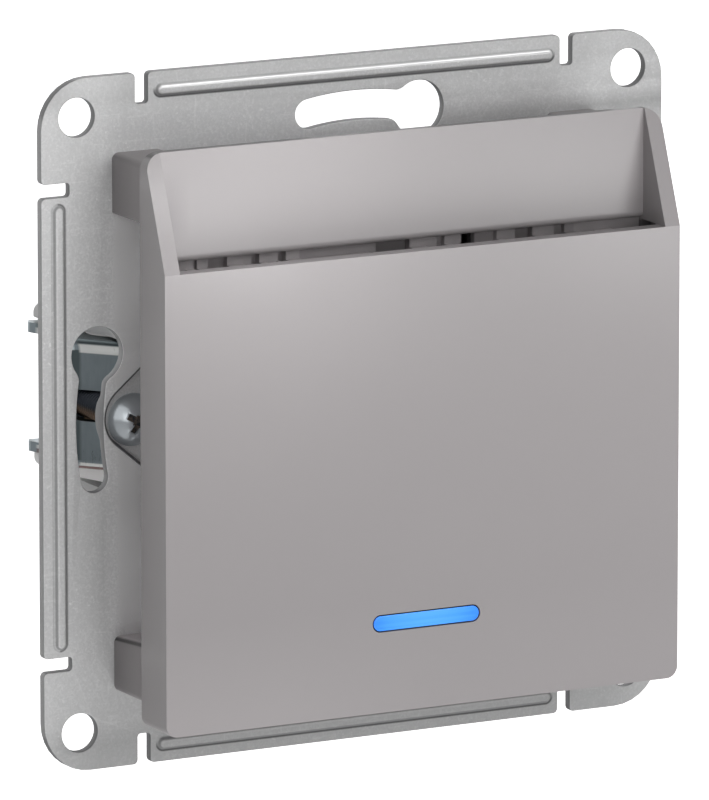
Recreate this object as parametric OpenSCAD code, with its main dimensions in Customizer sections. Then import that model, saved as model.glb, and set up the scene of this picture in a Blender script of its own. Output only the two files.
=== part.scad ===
// Hotel key card switch for a round wall box. X runs to the right, Y into the wall, Z up.
// The origin is the centre of the support plate on its back face, so the front lies at negative Y.

/* [Support plate] */
// Width and height of the square plate
plate_size = 71; // [68:0.5:80]
// Sheet thickness of the plate
plate_t = 1; // [0.8:0.1:1.4]
// Radius of the plate's corners
plate_corner_r = 5.2; // [3:0.1:8]
// Distance from the plate's edge to the middle of a corner hole
corner_hole_inset = 4; // [3.6:0.1:5]
// Radius of the corner holes
corner_hole_r = 2; // [1.4:0.1:2.4]
// Distance from the plate's side to the middle of the nearest slit
slit_inset = 11.25; // [10:0.25:12]
// Width of an edge slit
slit_w = 1.4; // [0.8:0.1:2]
// Depth of an edge slit
slit_depth = 3.15; // [1.5:0.05:3.6]
// Distance from a slit to the end of the bead beside it
bead_gap = 0.75; // [0.5:0.05:6]
// Width of an embossed bead
bead_w = 1.4; // [1:0.1:1.8]
// Height of an embossed bead above the plate
bead_h = 0.35; // [0.2:0.05:0.6]
// Distance from the plate's edge to the middle of a bead
bead_inset = 1.9; // [1.5:0.1:2.2]

/* [Keyholes] */
// Radius of the circle on which the box screws sit
screw_circle_r = 30.2; // [30.1:0.1:31]
// Width of the curved slot of a keyhole
keyhole_w = 3; // [2.4:0.1:3.2]
// Radius of the keyhole's round head
keyhole_head_r = 2.85; // [2:0.05:3]
// Angle from the axis to the middle of the head
keyhole_head_angle = 13.8; // [10:0.2:16]
// Angle from the axis to the end of the slot
keyhole_tail_angle = 10.3; // [6:0.1:14]

/* [Cover] */
// Width and height of the cover
cover_size = 58.5; // [57:0.5:62]
// Distance from the plate's back to the cover's front face
cover_front = 15.92; // [15.5:0.02:17]
// Distance from the plate's back to the cover's rear rim
cover_rim = 10.4; // [9.5:0.1:11]
// Wall thickness of the cover's front
cover_front_wall = 1.6; // [1.2:0.1:1.9]
// Wall thickness of the cover's sides
cover_side_wall = 1.7; // [1.2:0.1:1.9]
// Radius of the cover's corners
cover_corner_r = 1.9; // [0.8:0.1:3]
// Height of the front face's upper lip above the middle
lip_height = 17.72; // [16:0.02:19]
// Distance from the plate's back to the cheeks' upper ends
cheek_top = 11.47; // [11.42:0.01:12.5]
// Thickness of the panel behind the card pocket
pocket_panel_t = 0.9; // [0.7:0.05:1]

/* [Light window] */
// Length of the light window
lens_length = 12.3; // [8:0.1:16]
// Height of the light window
lens_h = 1.8; // [1.4:0.1:2.2]
// Distance of the light window below the middle
lens_drop = 20; // [19.8:0.1:21.5]

/* [Card channel] */
// Thickness of the channel that the card slides in
card_gap = 1.1; // [0.9:0.05:1.4]
// Height of the guide ribs on the cover's inner side
guide_rib_h = 0.9; // [0.6:0.05:1.1]
// Distance of the card stop below the middle
card_stop_drop = 17.5; // [16.5:0.1:17.6]
// Width of the card stop
card_stop_w = 40; // [20:1:44]
// Width and height of a foot of the carrier
foot_size = 5.7; // [4:0.1:5.8]
// Distance from the middle to a foot's outer side
foot_reach = 27.6; // [27.2:0.1:28]

/* [Casing] */
// Width and height of the casing behind the plate
casing_size = 44; // [43.4:0.1:44.6]
// Depth of the casing behind the plate
casing_depth = 24; // [24:0.5:30]
// Wall thickness of the casing
casing_wall = 1.6; // [1.3:0.1:1.7]
// Length cut off each corner of the casing
casing_chamfer = 6; // [5:0.1:6.4]
// Thickness of the lid in the casing's mouth
lid_t = 1.8; // [1.4:0.1:1.9]

/* [Claws] */
// Distance between the two claw screws
claw_pitch = 50; // [49.6:0.1:50.4]
// Radius of the claw screws' threads
claw_screw_r = 1.5; // [1.3:0.05:1.5]
// Radius of the claw screws' heads
claw_head_r = 2.72; // [2.4:0.02:2.8]
// Length of the claw screws under the head
claw_screw_length = 19; // [17:0.5:22]
// Radius of the rounded nose of the dish around a screw head
dish_nose_r = 3.3; // [3.1:0.1:3.3]
// Sheet thickness of the claws
claw_t = 1.05; // [0.8:0.05:1.1]
// Half the height between the inner faces of a claw's arms
claw_inner_half = 5.05; // [4.8:0.05:5.1]
// Radius of the round nut behind a claw
claw_nut_r = 2.4; // [2.2:0.05:2.4]

/* [Terminals] */
// Distance between neighbouring terminals
terminal_pitch = 8.6; // [8.4:0.05:8.7]
// Radius of the wire entries
wire_entry_r = 1.6; // [1.2:0.05:1.7]
// Radius of the terminal screws' threads
terminal_screw_r = 1.5; // [1.2:0.05:1.6]
// Radius of the terminal screws' heads
terminal_head_r = 2.5; // [2.1:0.05:2.6]
// Travel of a clamp from open to closed
clamp_travel = 3; // [2:0.1:3.1]
// Thickness of the metal bars
bar_t = 0.8; // [0.6:0.05:1]

/* [Switch] */
// Height of the lever's pin above the middle
lever_pin_height = 9; // [8.6:0.1:9.4]
// Radius of the lever's pin
lever_pin_r = 0.8; // [0.6:0.05:0.9]
// Width of the lever
lever_w = 5; // [3.5:0.1:5.4]
// Radius of the plunger's stem
plunger_r = 1.4; // [1:0.05:1.5]
// Radius of the contact tips
contact_r = 1.5; // [1:0.1:1.8]
// Width of the contact blade
blade_w = 5; // [4:0.1:5.4]

/* [Hidden] */
$fn = 48;

// Clearances: a running shaft, a loose part, the overlap that makes a cut pass a face, and how far a
// round end stands past the straight sides it meets
running = 0.05;
loose = 0.3;
past = 1;
round_step = 0.03;

// Levels along Y, from the cover's front to the casing's rear wall
front_y = -cover_front;
front_inner_y = front_y + cover_front_wall;
rib_y = front_inner_y + guide_rib_h;
guide_y = rib_y + card_gap;
rim_y = -cover_rim;
panel_y = rim_y - pocket_panel_t;
flange_t = 1.6;
flange_y = rim_y + flange_t;
plate_front_y = -plate_t;
lid_y0 = -lid_t / 2;
lid_y1 = lid_t / 2;
rear_y = casing_depth;
rear_inner_y = casing_depth - casing_wall;

// Support plate
corner_at = plate_size / 2 - corner_hole_inset;
slit_at = plate_size / 2 - slit_inset;
bead_length = 2 * slit_at - slit_w - 2 * bead_gap;

// Cover
cover_half = cover_size / 2;
pocket_half = cover_half - cover_side_wall;
panel_bottom = lip_height + 0.2;
lens_z = -lens_drop;

// Casing and what lines up with it
casing_half = casing_size / 2;
casing_inner = casing_half - casing_wall;
opening_half = casing_inner + 0.1;
lid_half = casing_inner - 0.4;
skirt_outer = casing_half - 0.2;
skirt_t = 1.6;
boss_r = 3.4;
boss_inset = 6.2;
boss_at = casing_half - boss_inset;
screw_shank_r = 1.1;
screw_head_r = 2.2;
screw_head_t = 1.5;
screw_seat_y = 10.4;
screw_tip_y = -6;
post_r = 2.7;

// Claws: a web leans out from the pivot, and the screw crosses it
claw_x = claw_pitch / 2;
pivot_x = claw_x - 4;
pivot_y = plate_t + 2;
web_angle = 40.3;
web_start = 1.2;
web_end = 10.6;
slot_start = 2.3;
slot_end = 9.3;
eye_r = 1.6;
trunnion_r = 1.1;
claw_outer_half = claw_inner_half + claw_t;
guard_inner = claw_outer_half + 0.85;
guard_t = 1.4;
guard_outer = guard_inner + guard_t;
guard_reach = pivot_x + 4.2;
guard_end_y = 20.5;
notch_half = 9.9;
notch_x = pivot_x - 2;
dish_lean = 40;
dish_wall = 1;
nut_gap = 0.15;
nut_reach = claw_t / 2 + claw_nut_r + nut_gap;
nut_y = pivot_y + (nut_reach + (claw_x - pivot_x) * cos(web_angle)) / sin(web_angle);
nut_half = claw_inner_half - 0.45;

// Terminals: the bars lie in one plane, the clamps hang round them
terminal_x = [-terminal_pitch, 0, terminal_pitch];
bar_top = 13.5;
bar_w = 4.4;
cage_w = 6.6;
cage_wall = 1.2;
cage_side = 0.9;
cage_y0 = 14;
cage_y1 = 20;
cage_y = (cage_y0 + cage_y1) / 2;
cage_window_top = bar_top + 1.3;
wire_space = clamp_travel + 0.4;
cage_window_bottom = bar_top - bar_t - wire_space;
wire_z = bar_top - bar_t - wire_space / 2;
head_bottom = cage_window_top + cage_wall + clamp_travel + 0.5;
head_t = casing_half - 0.6 - head_bottom;
cross_wall_y0 = 12;
cross_wall_y1 = 13.4;
barrier_t = 1.2;
barrier_bottom = cage_window_bottom - cage_wall - loose;
tail_y = 10.8;

// Switch: the card tips the lever, the plunger passes that on to the blade
lever_pin_y = -6;
nose_z = -3;
pad_r = 1.2;
pad_back_y = -4;
plunger_drop = 10;
plunger_z = lever_pin_height - plunger_drop;
plunger_front_y = pad_back_y + running;
blade_y = 6.1;
blade_t = 0.5;
blade_reach = 9;
blade_pin_z = plunger_z + blade_reach;
blade_pin_y = blade_y + blade_t / 2;
blade_pin_r = 0.75;
blade_eye_r = 1.3;
bridge_half = 1.5;
contact_drop = 4;
contact_z = plunger_z - contact_drop;
contact_margin = 0.3;
contact_backing = 2.2;
moving_contact_t = 0.8;
fixed_contact_y = 9.75;
spring_seat_y = 9.4;
spring_seat_t = 1.2;
contact_spring_z = plunger_z + 3;
lever_spring_z = plunger_z + 4;
window_half = lever_w / 2 + 0.5;
ear_t = 1.8;
ear_x = window_half + 0.2;

// Light: the pipe steps from the light board down to the window
led_rise = 3.8;
led_z = lens_z + led_rise;
led_board_gap = 1.4;
led_board_y = flange_y + led_board_gap;
led_board_t = 1;
led_board_half = 8;
led_board_below = 2;
led_board_above = 1.6;
led_t = 0.9;
led_w = 2;
led_h = 1.3;
led_pitch = 3.5;
pipe_length = lens_length;
pipe_half = lens_h / 2 - 0.05;
pipe_front_y = front_inner_y + 0.45;

// Circuit board
board_top = -13.5;
board_t = 1.6;
board_half = 12;
board_y0 = lid_y1 + 0.1;
board_y1 = rear_inner_y - 0.05;
lead_x = 5;
lead_r = 0.4;
lead_end = 0.6;
lead_overlap = 5;
lead_z = board_top + lead_r;

// Extrudes an X-Z outline from y0 to y1.
module slab(y0, y1) {
    translate([0, y1, 0])
        rotate([90, 0, 0])
            linear_extrude(y1 - y0)
                children();
}

// Extrudes a Y-Z outline over a width that is centred on X = 0.
module strip(width) {
    rotate([90, 0, 90])
        linear_extrude(width, center = true)
            children();
}

// Round bar along Y at a place in X and Z.
module rod(x, z, y0, y1, r) {
    translate([x, y1, z])
        rotate([90, 0, 0])
            cylinder(h = y1 - y0, r = r);
}

// Round bar along X, centred on X = 0, at a place in Y and Z.
module axle(y, z, length, r) {
    translate([0, y, z])
        rotate([0, 90, 0])
            cylinder(h = length, r = r, center = true);
}

// Box from its lowest to its highest corner.
module block(low, high) {
    translate(low)
        cube(high - low);
}

// Square outline with round corners.
module rounded_square(size, r) {
    square([size - 2 * r, size], center = true);
    square([size, size - 2 * r], center = true);
    for (x = [-1, 1], z = [-1, 1])
        translate([x, z] * (size / 2 - r))
            circle(r = r);
}

// Long outline with half-round ends, along X.
module stadium(length, h) {
    square([length - h, h], center = true);
    for (x = [-1, 1])
        translate([x * (length - h) / 2, 0])
            circle(r = h / 2);
}

// Square outline with its corners cut off.
module octagon(half, cut) {
    polygon([[-half, cut - half], [cut - half, -half], [half - cut, -half], [half, cut - half],
        [half, half - cut], [half - cut, half], [cut - half, half], [-half, half - cut]]);
}

// Copies at the four corners of a square.
module at_corners(reach) {
    for (x = [-1, 1], z = [-1, 1])
        translate([x * reach, 0, z * reach])
            children();
}

// Copies on the four sides of the plate.
module on_four_sides() {
    for (turn = [0:90:270])
        rotate([0, turn, 0])
            children();
}

// Helical spring along Y as one closed tube.
module coil_spring(x, z, y0, y1, coil_r, wire_r, turns) {
    sides = 6;
    steps = 18 * turns;
    rise = y1 - y0 - 2 * wire_r;
    points = [for (i = [0:steps], j = [0:sides - 1])
        let (a = 360 * turns * i / steps, b = 360 * j / sides, r = coil_r + wire_r * cos(b))
        [x + r * cos(a), y0 + wire_r + rise * i / steps + wire_r * sin(b), z + r * sin(a)]];
    walls = [for (i = [0:steps - 1], j = [0:sides - 1])
        let (a = i * sides + j, b = i * sides + (j + 1) % sides)
        each [[a, b, a + sides], [b, b + sides, a + sides]]];
    caps = [[for (j = [sides - 1:-1:0]) j], [for (j = [0:sides - 1]) steps * sides + j]];
    polyhedron(points, concat(walls, caps));
}

// Keyhole of the top side: a curved slot with a round head on its right.
module keyhole_outline() {
    outer = screw_circle_r + keyhole_w / 2;
    inner = screw_circle_r - keyhole_w / 2;
    far = 2 * screw_circle_r;
    intersection() {
        difference() {
            circle(r = outer, $fn = 96);
            circle(r = inner, $fn = 96);
        }
        polygon([[0, 0], far * [-sin(keyhole_tail_angle), cos(keyhole_tail_angle)],
            far * [sin(keyhole_head_angle), cos(keyhole_head_angle)]]);
    }
    rotate(keyhole_tail_angle)
        translate([0, screw_circle_r])
            circle(r = keyhole_w / 2 + round_step);
    rotate(-keyhole_head_angle)
        translate([0, screw_circle_r])
            circle(r = keyhole_head_r);
}

// Dish round a claw screw: a round nose whose sides spread towards the middle.
module dish_outline(wall) {
    r = dish_nose_r + wall;
    touch = (r - round_step) * [sin(dish_lean), cos(dish_lean)];
    inner_x = opening_half - past;
    inner_z = touch[1] + (claw_x + touch[0] - inner_x) * tan(dish_lean);
    for (side = [-1, 1]) {
        translate([side * claw_x, 0])
            circle(r = r);
        polygon([[side * (claw_x + touch[0]), touch[1]], [side * inner_x, inner_z],
            [side * inner_x, -inner_z], [side * (claw_x + touch[0]), -touch[1]]]);
    }
}

module mounting_plate() {
    color("silver")
        difference() {
            union() {
                slab(plate_front_y, 0)
                    rounded_square(plate_size, plate_corner_r);
                on_four_sides()
                    translate([0, 0, plate_size / 2 - bead_inset])
                        slab(plate_front_y - bead_h, plate_front_y + plate_t / 2)
                            stadium(bead_length, bead_w);
                slab(-plate_t / 2, plate_t)
                    dish_outline(dish_wall);
            }
            slab(plate_front_y - past, 0)
                dish_outline(0);
            slab(-3 * plate_t, 3 * plate_t)
                square(2 * opening_half, center = true);
            on_four_sides() {
                slab(-3 * plate_t, 3 * plate_t)
                    keyhole_outline();
                for (side = [-1, 1])
                    translate([side * slit_at, 0, 0])
                        block([-slit_w / 2, -3 * plate_t, plate_size / 2 - slit_depth],
                            [slit_w / 2, 3 * plate_t, plate_size / 2 + past]);
            }
            at_corners(corner_at)
                rod(0, 0, -3 * plate_t, 3 * plate_t, corner_hole_r);
            for (side = [-1, 1])
                rod(side * claw_x, 0, -3 * plate_t, 3 * plate_t, claw_screw_r + 0.1);
        }
}

// Snap hooks that pass the carrier's flange and catch behind it.
hook_z = 12;
hook_w = 6;
hook_x0 = pocket_half - 1.95;
hook_t = 1.2;
hook_root_y = guide_y + 0.15;
hook_end_y = flange_y + 1.2;
hook_nose = 1.1;

module cover_hook() {
    block([hook_x0, hook_root_y, -hook_w / 2],
        [pocket_half + cover_side_wall / 2, rim_y - 0.1, hook_w / 2]);
    block([hook_x0, hook_root_y, -hook_w / 2], [hook_x0 + hook_t, hook_end_y, hook_w / 2]);
    block([hook_x0 - hook_nose, flange_y + 0.1, -hook_w / 2], [hook_x0 + hook_t / 2, hook_end_y, hook_w / 2]);
}

// Places along X of the ribs that hold the card off the cover's front wall.
guide_ribs = [-24, -14, 14, 24];
guide_rib_w = 1.2;
guide_rib_drop = 3.5;

module front_cover() {
    color("thistle")
        difference() {
            union() {
                difference() {
                    intersection() {
                        strip(cover_size + past)
                            polygon([[front_y, -cover_half - past], [front_y, lip_height],
                                [-cheek_top, cover_half], [-cheek_top, cover_half + past],
                                [rim_y, cover_half + past], [rim_y, -cover_half - past]]);
                        slab(front_y - past, rim_y + past)
                            rounded_square(cover_size, cover_corner_r);
                    }
                    block([-pocket_half, front_y - past, lip_height],
                        [pocket_half, panel_y, cover_half + past]);
                    block([-pocket_half, front_inner_y, -pocket_half],
                        [pocket_half, rim_y + past, panel_bottom]);
                }
                for (x = guide_ribs)
                    block([x - guide_rib_w / 2, front_inner_y - 0.2, -card_stop_drop],
                        [x + guide_rib_w / 2, rib_y, lip_height - guide_rib_drop]);
                for (side = [0, 1], z = [-hook_z, hook_z])
                    mirror([side, 0, 0])
                        translate([0, 0, z])
                            cover_hook();
            }
            translate([0, 0, lens_z])
                slab(front_y - past, front_inner_y + past)
                    stadium(lens_length, lens_h);
        }
}

// Pockets along the upper edge of the card guide, as [middle, width].
guide_pockets = [[-21.5, 2.2], [-17.2, 1], [-14.6, 1.2], [-1.7, 3.8], [3.6, 1.2], [6.7, 1.7],
    [12.9, 2.2], [17, 1.4], [21.4, 1.6]];

// Outline of the light pipe's way through the carrier, seen from the side.
module pipe_outline(half, y0, y1) {
    bend_y0 = flange_y - 0.5;
    bend_y1 = guide_y + 0.3;
    polygon([[y1, led_z + half], [bend_y0, led_z + half], [bend_y1, lens_z + half], [y0, lens_z + half],
        [y0, lens_z - half], [bend_y1, lens_z - half], [bend_y0, led_z - half], [y1, led_z - half]]);
}

module card_carrier() {
    guide_half = hook_x0 - hook_nose - loose;
    guide_top = lip_height - 0.7;
    pocket_depth = 5;
    foot_middle = foot_reach - foot_size / 2;
    window_bottom = nose_z - 3.2;
    window_top = nose_z + 5.2;
    ear_half = 2;
    stud_x = 7;
    stud_w = 1.8;
    stud_z = led_z + led_h / 2 + 0.55;
    color("rosybrown")
        difference() {
            union() {
                slab(rim_y, flange_y)
                    rounded_square(2 * foot_reach, 1);
                block([-guide_half, guide_y, -guide_half], [guide_half, rim_y + flange_t / 2, guide_top]);
                block([-card_stop_w / 2, front_inner_y + 0.1, -card_stop_drop - 1],
                    [card_stop_w / 2, rim_y, -card_stop_drop]);
                slab(rim_y + flange_t / 2, plate_front_y)
                    difference() {
                        octagon(skirt_outer, casing_chamfer);
                        octagon(skirt_outer - skirt_t, casing_chamfer - 0.6 * skirt_t);
                    }
                at_corners(foot_middle)
                    slab(rim_y + flange_t / 2, plate_front_y)
                        rounded_square(foot_size, 0.7);
                at_corners(boss_at)
                    rod(0, 0, rim_y + flange_t / 2, lid_y0, post_r);
                for (side = [0, 1])
                    mirror([side, 0, 0]) {
                        block([ear_x, flange_y - flange_t / 2, lever_pin_height - ear_half],
                            [ear_x + ear_t, lever_pin_y + ear_half, lever_pin_height + ear_half]);
                        block([stud_x - stud_w / 2, flange_y - flange_t / 2, stud_z],
                            [stud_x + stud_w / 2, led_board_y, stud_z + stud_w]);
                    }
            }
            for (pocket = guide_pockets)
                block([pocket[0] - pocket[1] / 2, guide_y - past, guide_top - pocket_depth],
                    [pocket[0] + pocket[1] / 2, rim_y, guide_top + past]);
            block([-window_half, guide_y - past, window_bottom], [window_half, flange_y + past, window_top]);
            strip(pipe_length + 0.6)
                pipe_outline(pipe_half + 0.25, front_y, flange_y + past);
            for (side = [0, 1], z = [-hook_z, hook_z])
                mirror([side, 0, 0])
                    block([hook_x0 - loose, rim_y - past, z - hook_w / 2 - loose],
                        [cover_half, flange_y + past, z + hook_w / 2 + loose]);
            at_corners(boss_at)
                rod(0, 0, screw_tip_y - 0.5, past, screw_shank_r + 0.02);
            axle(lever_pin_y, lever_pin_height, 2 * (ear_x + ear_t) + past, lever_pin_r + 0.01);
        }
}

module status_lens() {
    color("dodgerblue")
        translate([0, 0, lens_z]) {
            slab(front_y - 0.03, front_inner_y + 0.2)
                stadium(lens_length - 0.1, lens_h - 0.1);
            slab(front_inner_y + 0.01, front_inner_y + 0.4)
                stadium(lens_length + 1, lens_h + 1);
        }
}

module light_pipe() {
    color("lightcyan")
        strip(pipe_length - 0.2)
            pipe_outline(pipe_half, pipe_front_y, led_board_y - led_t - 0.15);
}

module led_board() {
    color("darkgreen")
        difference() {
            block([-led_board_half, led_board_y, led_z - led_board_below],
                [led_board_half, led_board_y + led_board_t, lead_z + led_board_above]);
            for (side = [-1, 1])
                rod(side * lead_x, lead_z, led_board_y - past, led_board_y + led_board_t + past,
                    lead_r + 0.05);
        }
}

module status_leds() {
    color("lightyellow")
        for (x = [-led_pitch, 0, led_pitch])
            block([x - led_w / 2, led_board_y - led_t, led_z - led_h / 2],
                [x + led_w / 2, led_board_y, led_z + led_h / 2]);
}

module led_leads() {
    color("gold")
        for (side = [-1, 1])
            rod(side * lead_x, lead_z, led_board_y - lead_end, board_y0 + lead_overlap, lead_r);
}

// Outline of the casing with its side notches for the claws.
module casing_outline(inset) {
    difference() {
        octagon(casing_half - inset, casing_chamfer - 0.6 * inset);
        for (side = [-1, 1])
            translate([side * (notch_x - inset + casing_half), 0])
                square([2 * casing_half, 2 * (notch_half + inset)], center = true);
    }
}

// One guard rib beside a claw, with the bore for the claw's trunnion.
module guard_rib() {
    edge_r = 1.6;
    start_y = plate_t + 0.35;
    difference() {
        union() {
            block([notch_x - casing_wall / 2, start_y, guard_inner],
                [guard_reach - edge_r, guard_end_y, guard_outer]);
            block([notch_x, start_y, guard_inner], [guard_reach, guard_end_y - edge_r, guard_outer]);
            translate([guard_reach - edge_r, guard_end_y - edge_r, guard_inner])
                cylinder(h = guard_t, r = edge_r);
        }
        translate([pivot_x, pivot_y, guard_inner - past])
            cylinder(h = guard_t + 2 * past, r = trunnion_r + running);
    }
}

module rear_housing() {
    rail_w = 2;
    color("dimgray")
        difference() {
            union() {
                difference() {
                    slab(0, rear_y)
                        casing_outline(0);
                    slab(-past, rear_inner_y)
                        casing_outline(casing_wall);
                }
                intersection() {
                    at_corners(boss_at)
                        rod(0, 0, lid_y1, rear_inner_y + casing_wall / 2, boss_r);
                    slab(0, rear_y)
                        casing_outline(casing_wall / 2);
                }
                for (x = [0, 1], z = [0, 1])
                    mirror([x, 0, 0])
                        mirror([0, 0, z])
                            guard_rib();
                block([-terminal_pitch - cage_w / 2 - barrier_t, cross_wall_y0, barrier_bottom],
                    [terminal_pitch + cage_w / 2 + barrier_t, cross_wall_y1, casing_half - casing_wall / 2]);
                for (side = [0, 1])
                    mirror([side, 0, 0])
                        block([terminal_pitch / 2 - barrier_t / 2, cross_wall_y0, barrier_bottom],
                            [terminal_pitch / 2 + barrier_t / 2, rear_inner_y + casing_wall / 2,
                                casing_half - casing_wall / 2]);
                block([-notch_x + casing_wall / 2, spring_seat_y, contact_spring_z - 2],
                    [notch_x - casing_wall / 2, spring_seat_y + spring_seat_t, contact_spring_z + 2]);
                for (side = [0, 1])
                    mirror([side, 0, 0])
                        block([board_half - rail_w, rear_inner_y - 4, board_top - board_t - 1.2],
                            [board_half, rear_inner_y + casing_wall / 2, board_top - board_t]);
            }
            at_corners(boss_at) {
                rod(0, 0, -past, rear_y, screw_shank_r + 0.15);
                rod(0, 0, screw_seat_y, rear_y + past, screw_head_r + 0.2);
            }
            for (x = terminal_x) {
                rod(x, wire_z, rear_inner_y - past, rear_y + past, wire_entry_r);
                translate([x, cage_y, casing_inner - past])
                    cylinder(h = casing_wall + 2 * past, r = terminal_head_r + 0.25);
                block([x - bar_w / 2 - 0.05, cross_wall_y0 - past, bar_top - bar_t - 0.05],
                    [x + bar_w / 2 + 0.05, cross_wall_y1 + past, bar_top + 0.05]);
            }
        }
}

module housing_lid() {
    color("gainsboro")
        difference() {
            slab(lid_y0, lid_y1)
                difference() {
                    octagon(lid_half, casing_chamfer - 0.6);
                    for (side = [-1, 1])
                        translate([side * (notch_x - casing_wall - loose + casing_half), 0])
                            square([2 * casing_half, 2 * (notch_half + casing_wall + loose)], center = true);
                }
            at_corners(boss_at)
                rod(0, 0, lid_y0 - past, lid_y1 + past, screw_shank_r + 0.15);
            rod(0, plunger_z, lid_y0 - past, lid_y1 + past, plunger_r + running);
            for (side = [-1, 1])
                rod(side * lead_x, lead_z, lid_y0 - past, lid_y1 + past, lead_r + 0.2);
        }
}

module assembly_screws() {
    slot_w = 0.6;
    color("lightsteelblue")
        at_corners(boss_at)
            difference() {
                union() {
                    rod(0, 0, screw_tip_y, screw_seat_y + 0.1, screw_shank_r);
                    rod(0, 0, screw_seat_y, screw_seat_y + screw_head_t, screw_head_r);
                }
                for (turn = [0, 90])
                    rotate([0, turn, 0])
                        block([-0.6 * screw_head_r, screw_seat_y + 0.4 * screw_head_t, -slot_w / 2],
                            [0.6 * screw_head_r, screw_seat_y + screw_head_t + past, slot_w / 2]);
            }
}

module circuit_board() {
    color("seagreen")
        block([-board_half, board_y0, board_top - board_t], [board_half, board_y1, board_top]);
}

// The components stand on the board's lower face, like the parts of a hung shelf. Their places are given as
// the middle of each footprint.
board_under = board_top - board_t;
capacitor_at = [-5, 13.7];
capacitor_w = 12;
capacitor_d = 7.4;
capacitor_h = 4.8;
rectifier_at = [6.5, 14.2];
rectifier_w = 5;
rectifier_d = 4.4;
rectifier_h = 2.6;
resistor_x = 6.5;
resistor_y = 6.1;
resistor_pitch = 3.4;
resistor_r = 1.1;
resistor_length = 5;
resistor_wire_r = 0.3;
resistor_wire_reach = 3.7;
resistor_drop = 1.6;

// A box-shaped component under the board.
module hung_block(at, w, d, h) {
    block([at[0] - w / 2, at[1] - d / 2, board_under - h], [at[0] + w / 2, at[1] + d / 2, board_under]);
}

module dropper_capacitor() {
    color("gold")
        hung_block(capacitor_at, capacitor_w, capacitor_d, capacitor_h);
}

module rectifier() {
    color("black")
        hung_block(rectifier_at, rectifier_w, rectifier_d, rectifier_h);
}

module board_resistors() {
    color("tan")
        for (row = [-1, 1])
            translate([resistor_x, resistor_y + row * resistor_pitch / 2, board_under - resistor_drop]) {
                rotate([0, 90, 0])
                    cylinder(h = resistor_length, r = resistor_r, center = true);
                rotate([0, 90, 0])
                    cylinder(h = 2 * resistor_wire_reach, r = resistor_wire_r, center = true);
                for (side = [-1, 1])
                    translate([side * resistor_wire_reach, 0, 0]) {
                        sphere(r = 1.3 * resistor_wire_r);
                        cylinder(h = resistor_drop, r = resistor_wire_r);
                    }
            }
}

// Flat tongue that runs through the cross wall into its terminal.
module bar_tongue(x, y0) {
    block([x - bar_w / 2, y0, bar_top - bar_t], [x + bar_w / 2, cage_y1, bar_top]);
}

// Tail that leads from a tongue down to the circuit board.
module bar_tail(x0, x1) {
    block([x0, tail_y, board_top + 0.1], [x1, tail_y + bar_t, bar_top]);
}

module common_bar() {
    ear_reach = blade_w / 2 + 0.3;
    bridge_y0 = blade_pin_y - bridge_half;
    bridge_y1 = blade_pin_y + bridge_half;
    color("peru")
        difference() {
            union() {
                bar_tongue(-terminal_pitch, bridge_y0);
                bar_tail(-terminal_pitch - bar_w / 2, -terminal_pitch);
                block([-terminal_pitch, bridge_y0, bar_top - bar_t], [ear_reach + bar_t, bridge_y1, bar_top]);
                for (side = [0, 1])
                    mirror([side, 0, 0])
                        block([ear_reach, bridge_y0, blade_pin_z - bridge_half],
                            [ear_reach + bar_t, bridge_y1, bar_top]);
            }
            axle(blade_pin_y, blade_pin_z, 2 * (ear_reach + bar_t) + past, blade_pin_r + 0.01);
        }
}

module switched_bar() {
    color("peru") {
        bar_tongue(0, tail_y);
        block([-bar_w / 2, tail_y, contact_z - contact_backing], [bar_w / 2, tail_y + bar_t, bar_top]);
    }
}

module neutral_bar() {
    color("peru") {
        bar_tongue(terminal_pitch, tail_y);
        bar_tail(terminal_pitch, terminal_pitch + bar_w / 2);
    }
}

module fixed_contact() {
    color("whitesmoke")
        rod(0, contact_z, fixed_contact_y, tail_y, contact_r);
}

module contact_blade() {
    color("darkgoldenrod")
        difference() {
            union() {
                block([-blade_w / 2, blade_y, contact_z - contact_r - contact_margin],
                    [blade_w / 2, blade_y + blade_t, blade_pin_z]);
                axle(blade_pin_y, blade_pin_z, blade_w, blade_eye_r);
            }
            axle(blade_pin_y, blade_pin_z, blade_w + past, blade_pin_r + running);
        }
}

module moving_contact() {
    color("whitesmoke")
        rod(0, contact_z, blade_y + blade_t, blade_y + blade_t + moving_contact_t, contact_r);
}

module blade_pin() {
    color("silver")
        axle(blade_pin_y, blade_pin_z, blade_w + 0.6 + 2 * bar_t, blade_pin_r);
}

module contact_spring() {
    color("slategray")
        coil_spring(0, contact_spring_z, blade_y + blade_t + running, spring_seat_y - running, 1.5, 0.18, 3);
}

module card_lever() {
    arm_front = flange_y + 0.25;
    arm_back = pad_back_y - 0.6;
    nose_y = guide_y - 1.6;
    color("ivory")
        difference() {
            union() {
                strip(lever_w) {
                    translate([lever_pin_y, lever_pin_height])
                        circle(r = 2);
                    polygon([[arm_front, lever_pin_height], [arm_back, lever_pin_height],
                        [arm_back, nose_z - 1], [arm_front, nose_z - 1.8], [nose_y + 0.9, nose_z - 1.6],
                        [nose_y, nose_z - 0.6], [nose_y, nose_z + 0.4], [guide_y, nose_z + 3.6],
                        [arm_front, nose_z + 4.6]]);
                }
                axle(pad_back_y - pad_r, plunger_z, lever_w, pad_r);
            }
            axle(lever_pin_y, lever_pin_height, lever_w + past, lever_pin_r + running);
        }
}

module lever_pin() {
    color("silver")
        axle(lever_pin_y, lever_pin_height, 2 * (ear_x + ear_t), lever_pin_r);
}

module lever_spring() {
    color("slategray")
        coil_spring(0, lever_spring_z, pad_back_y - 0.6 + running, lid_y0 - running, 1.7, 0.2, 3.5);
}

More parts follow.
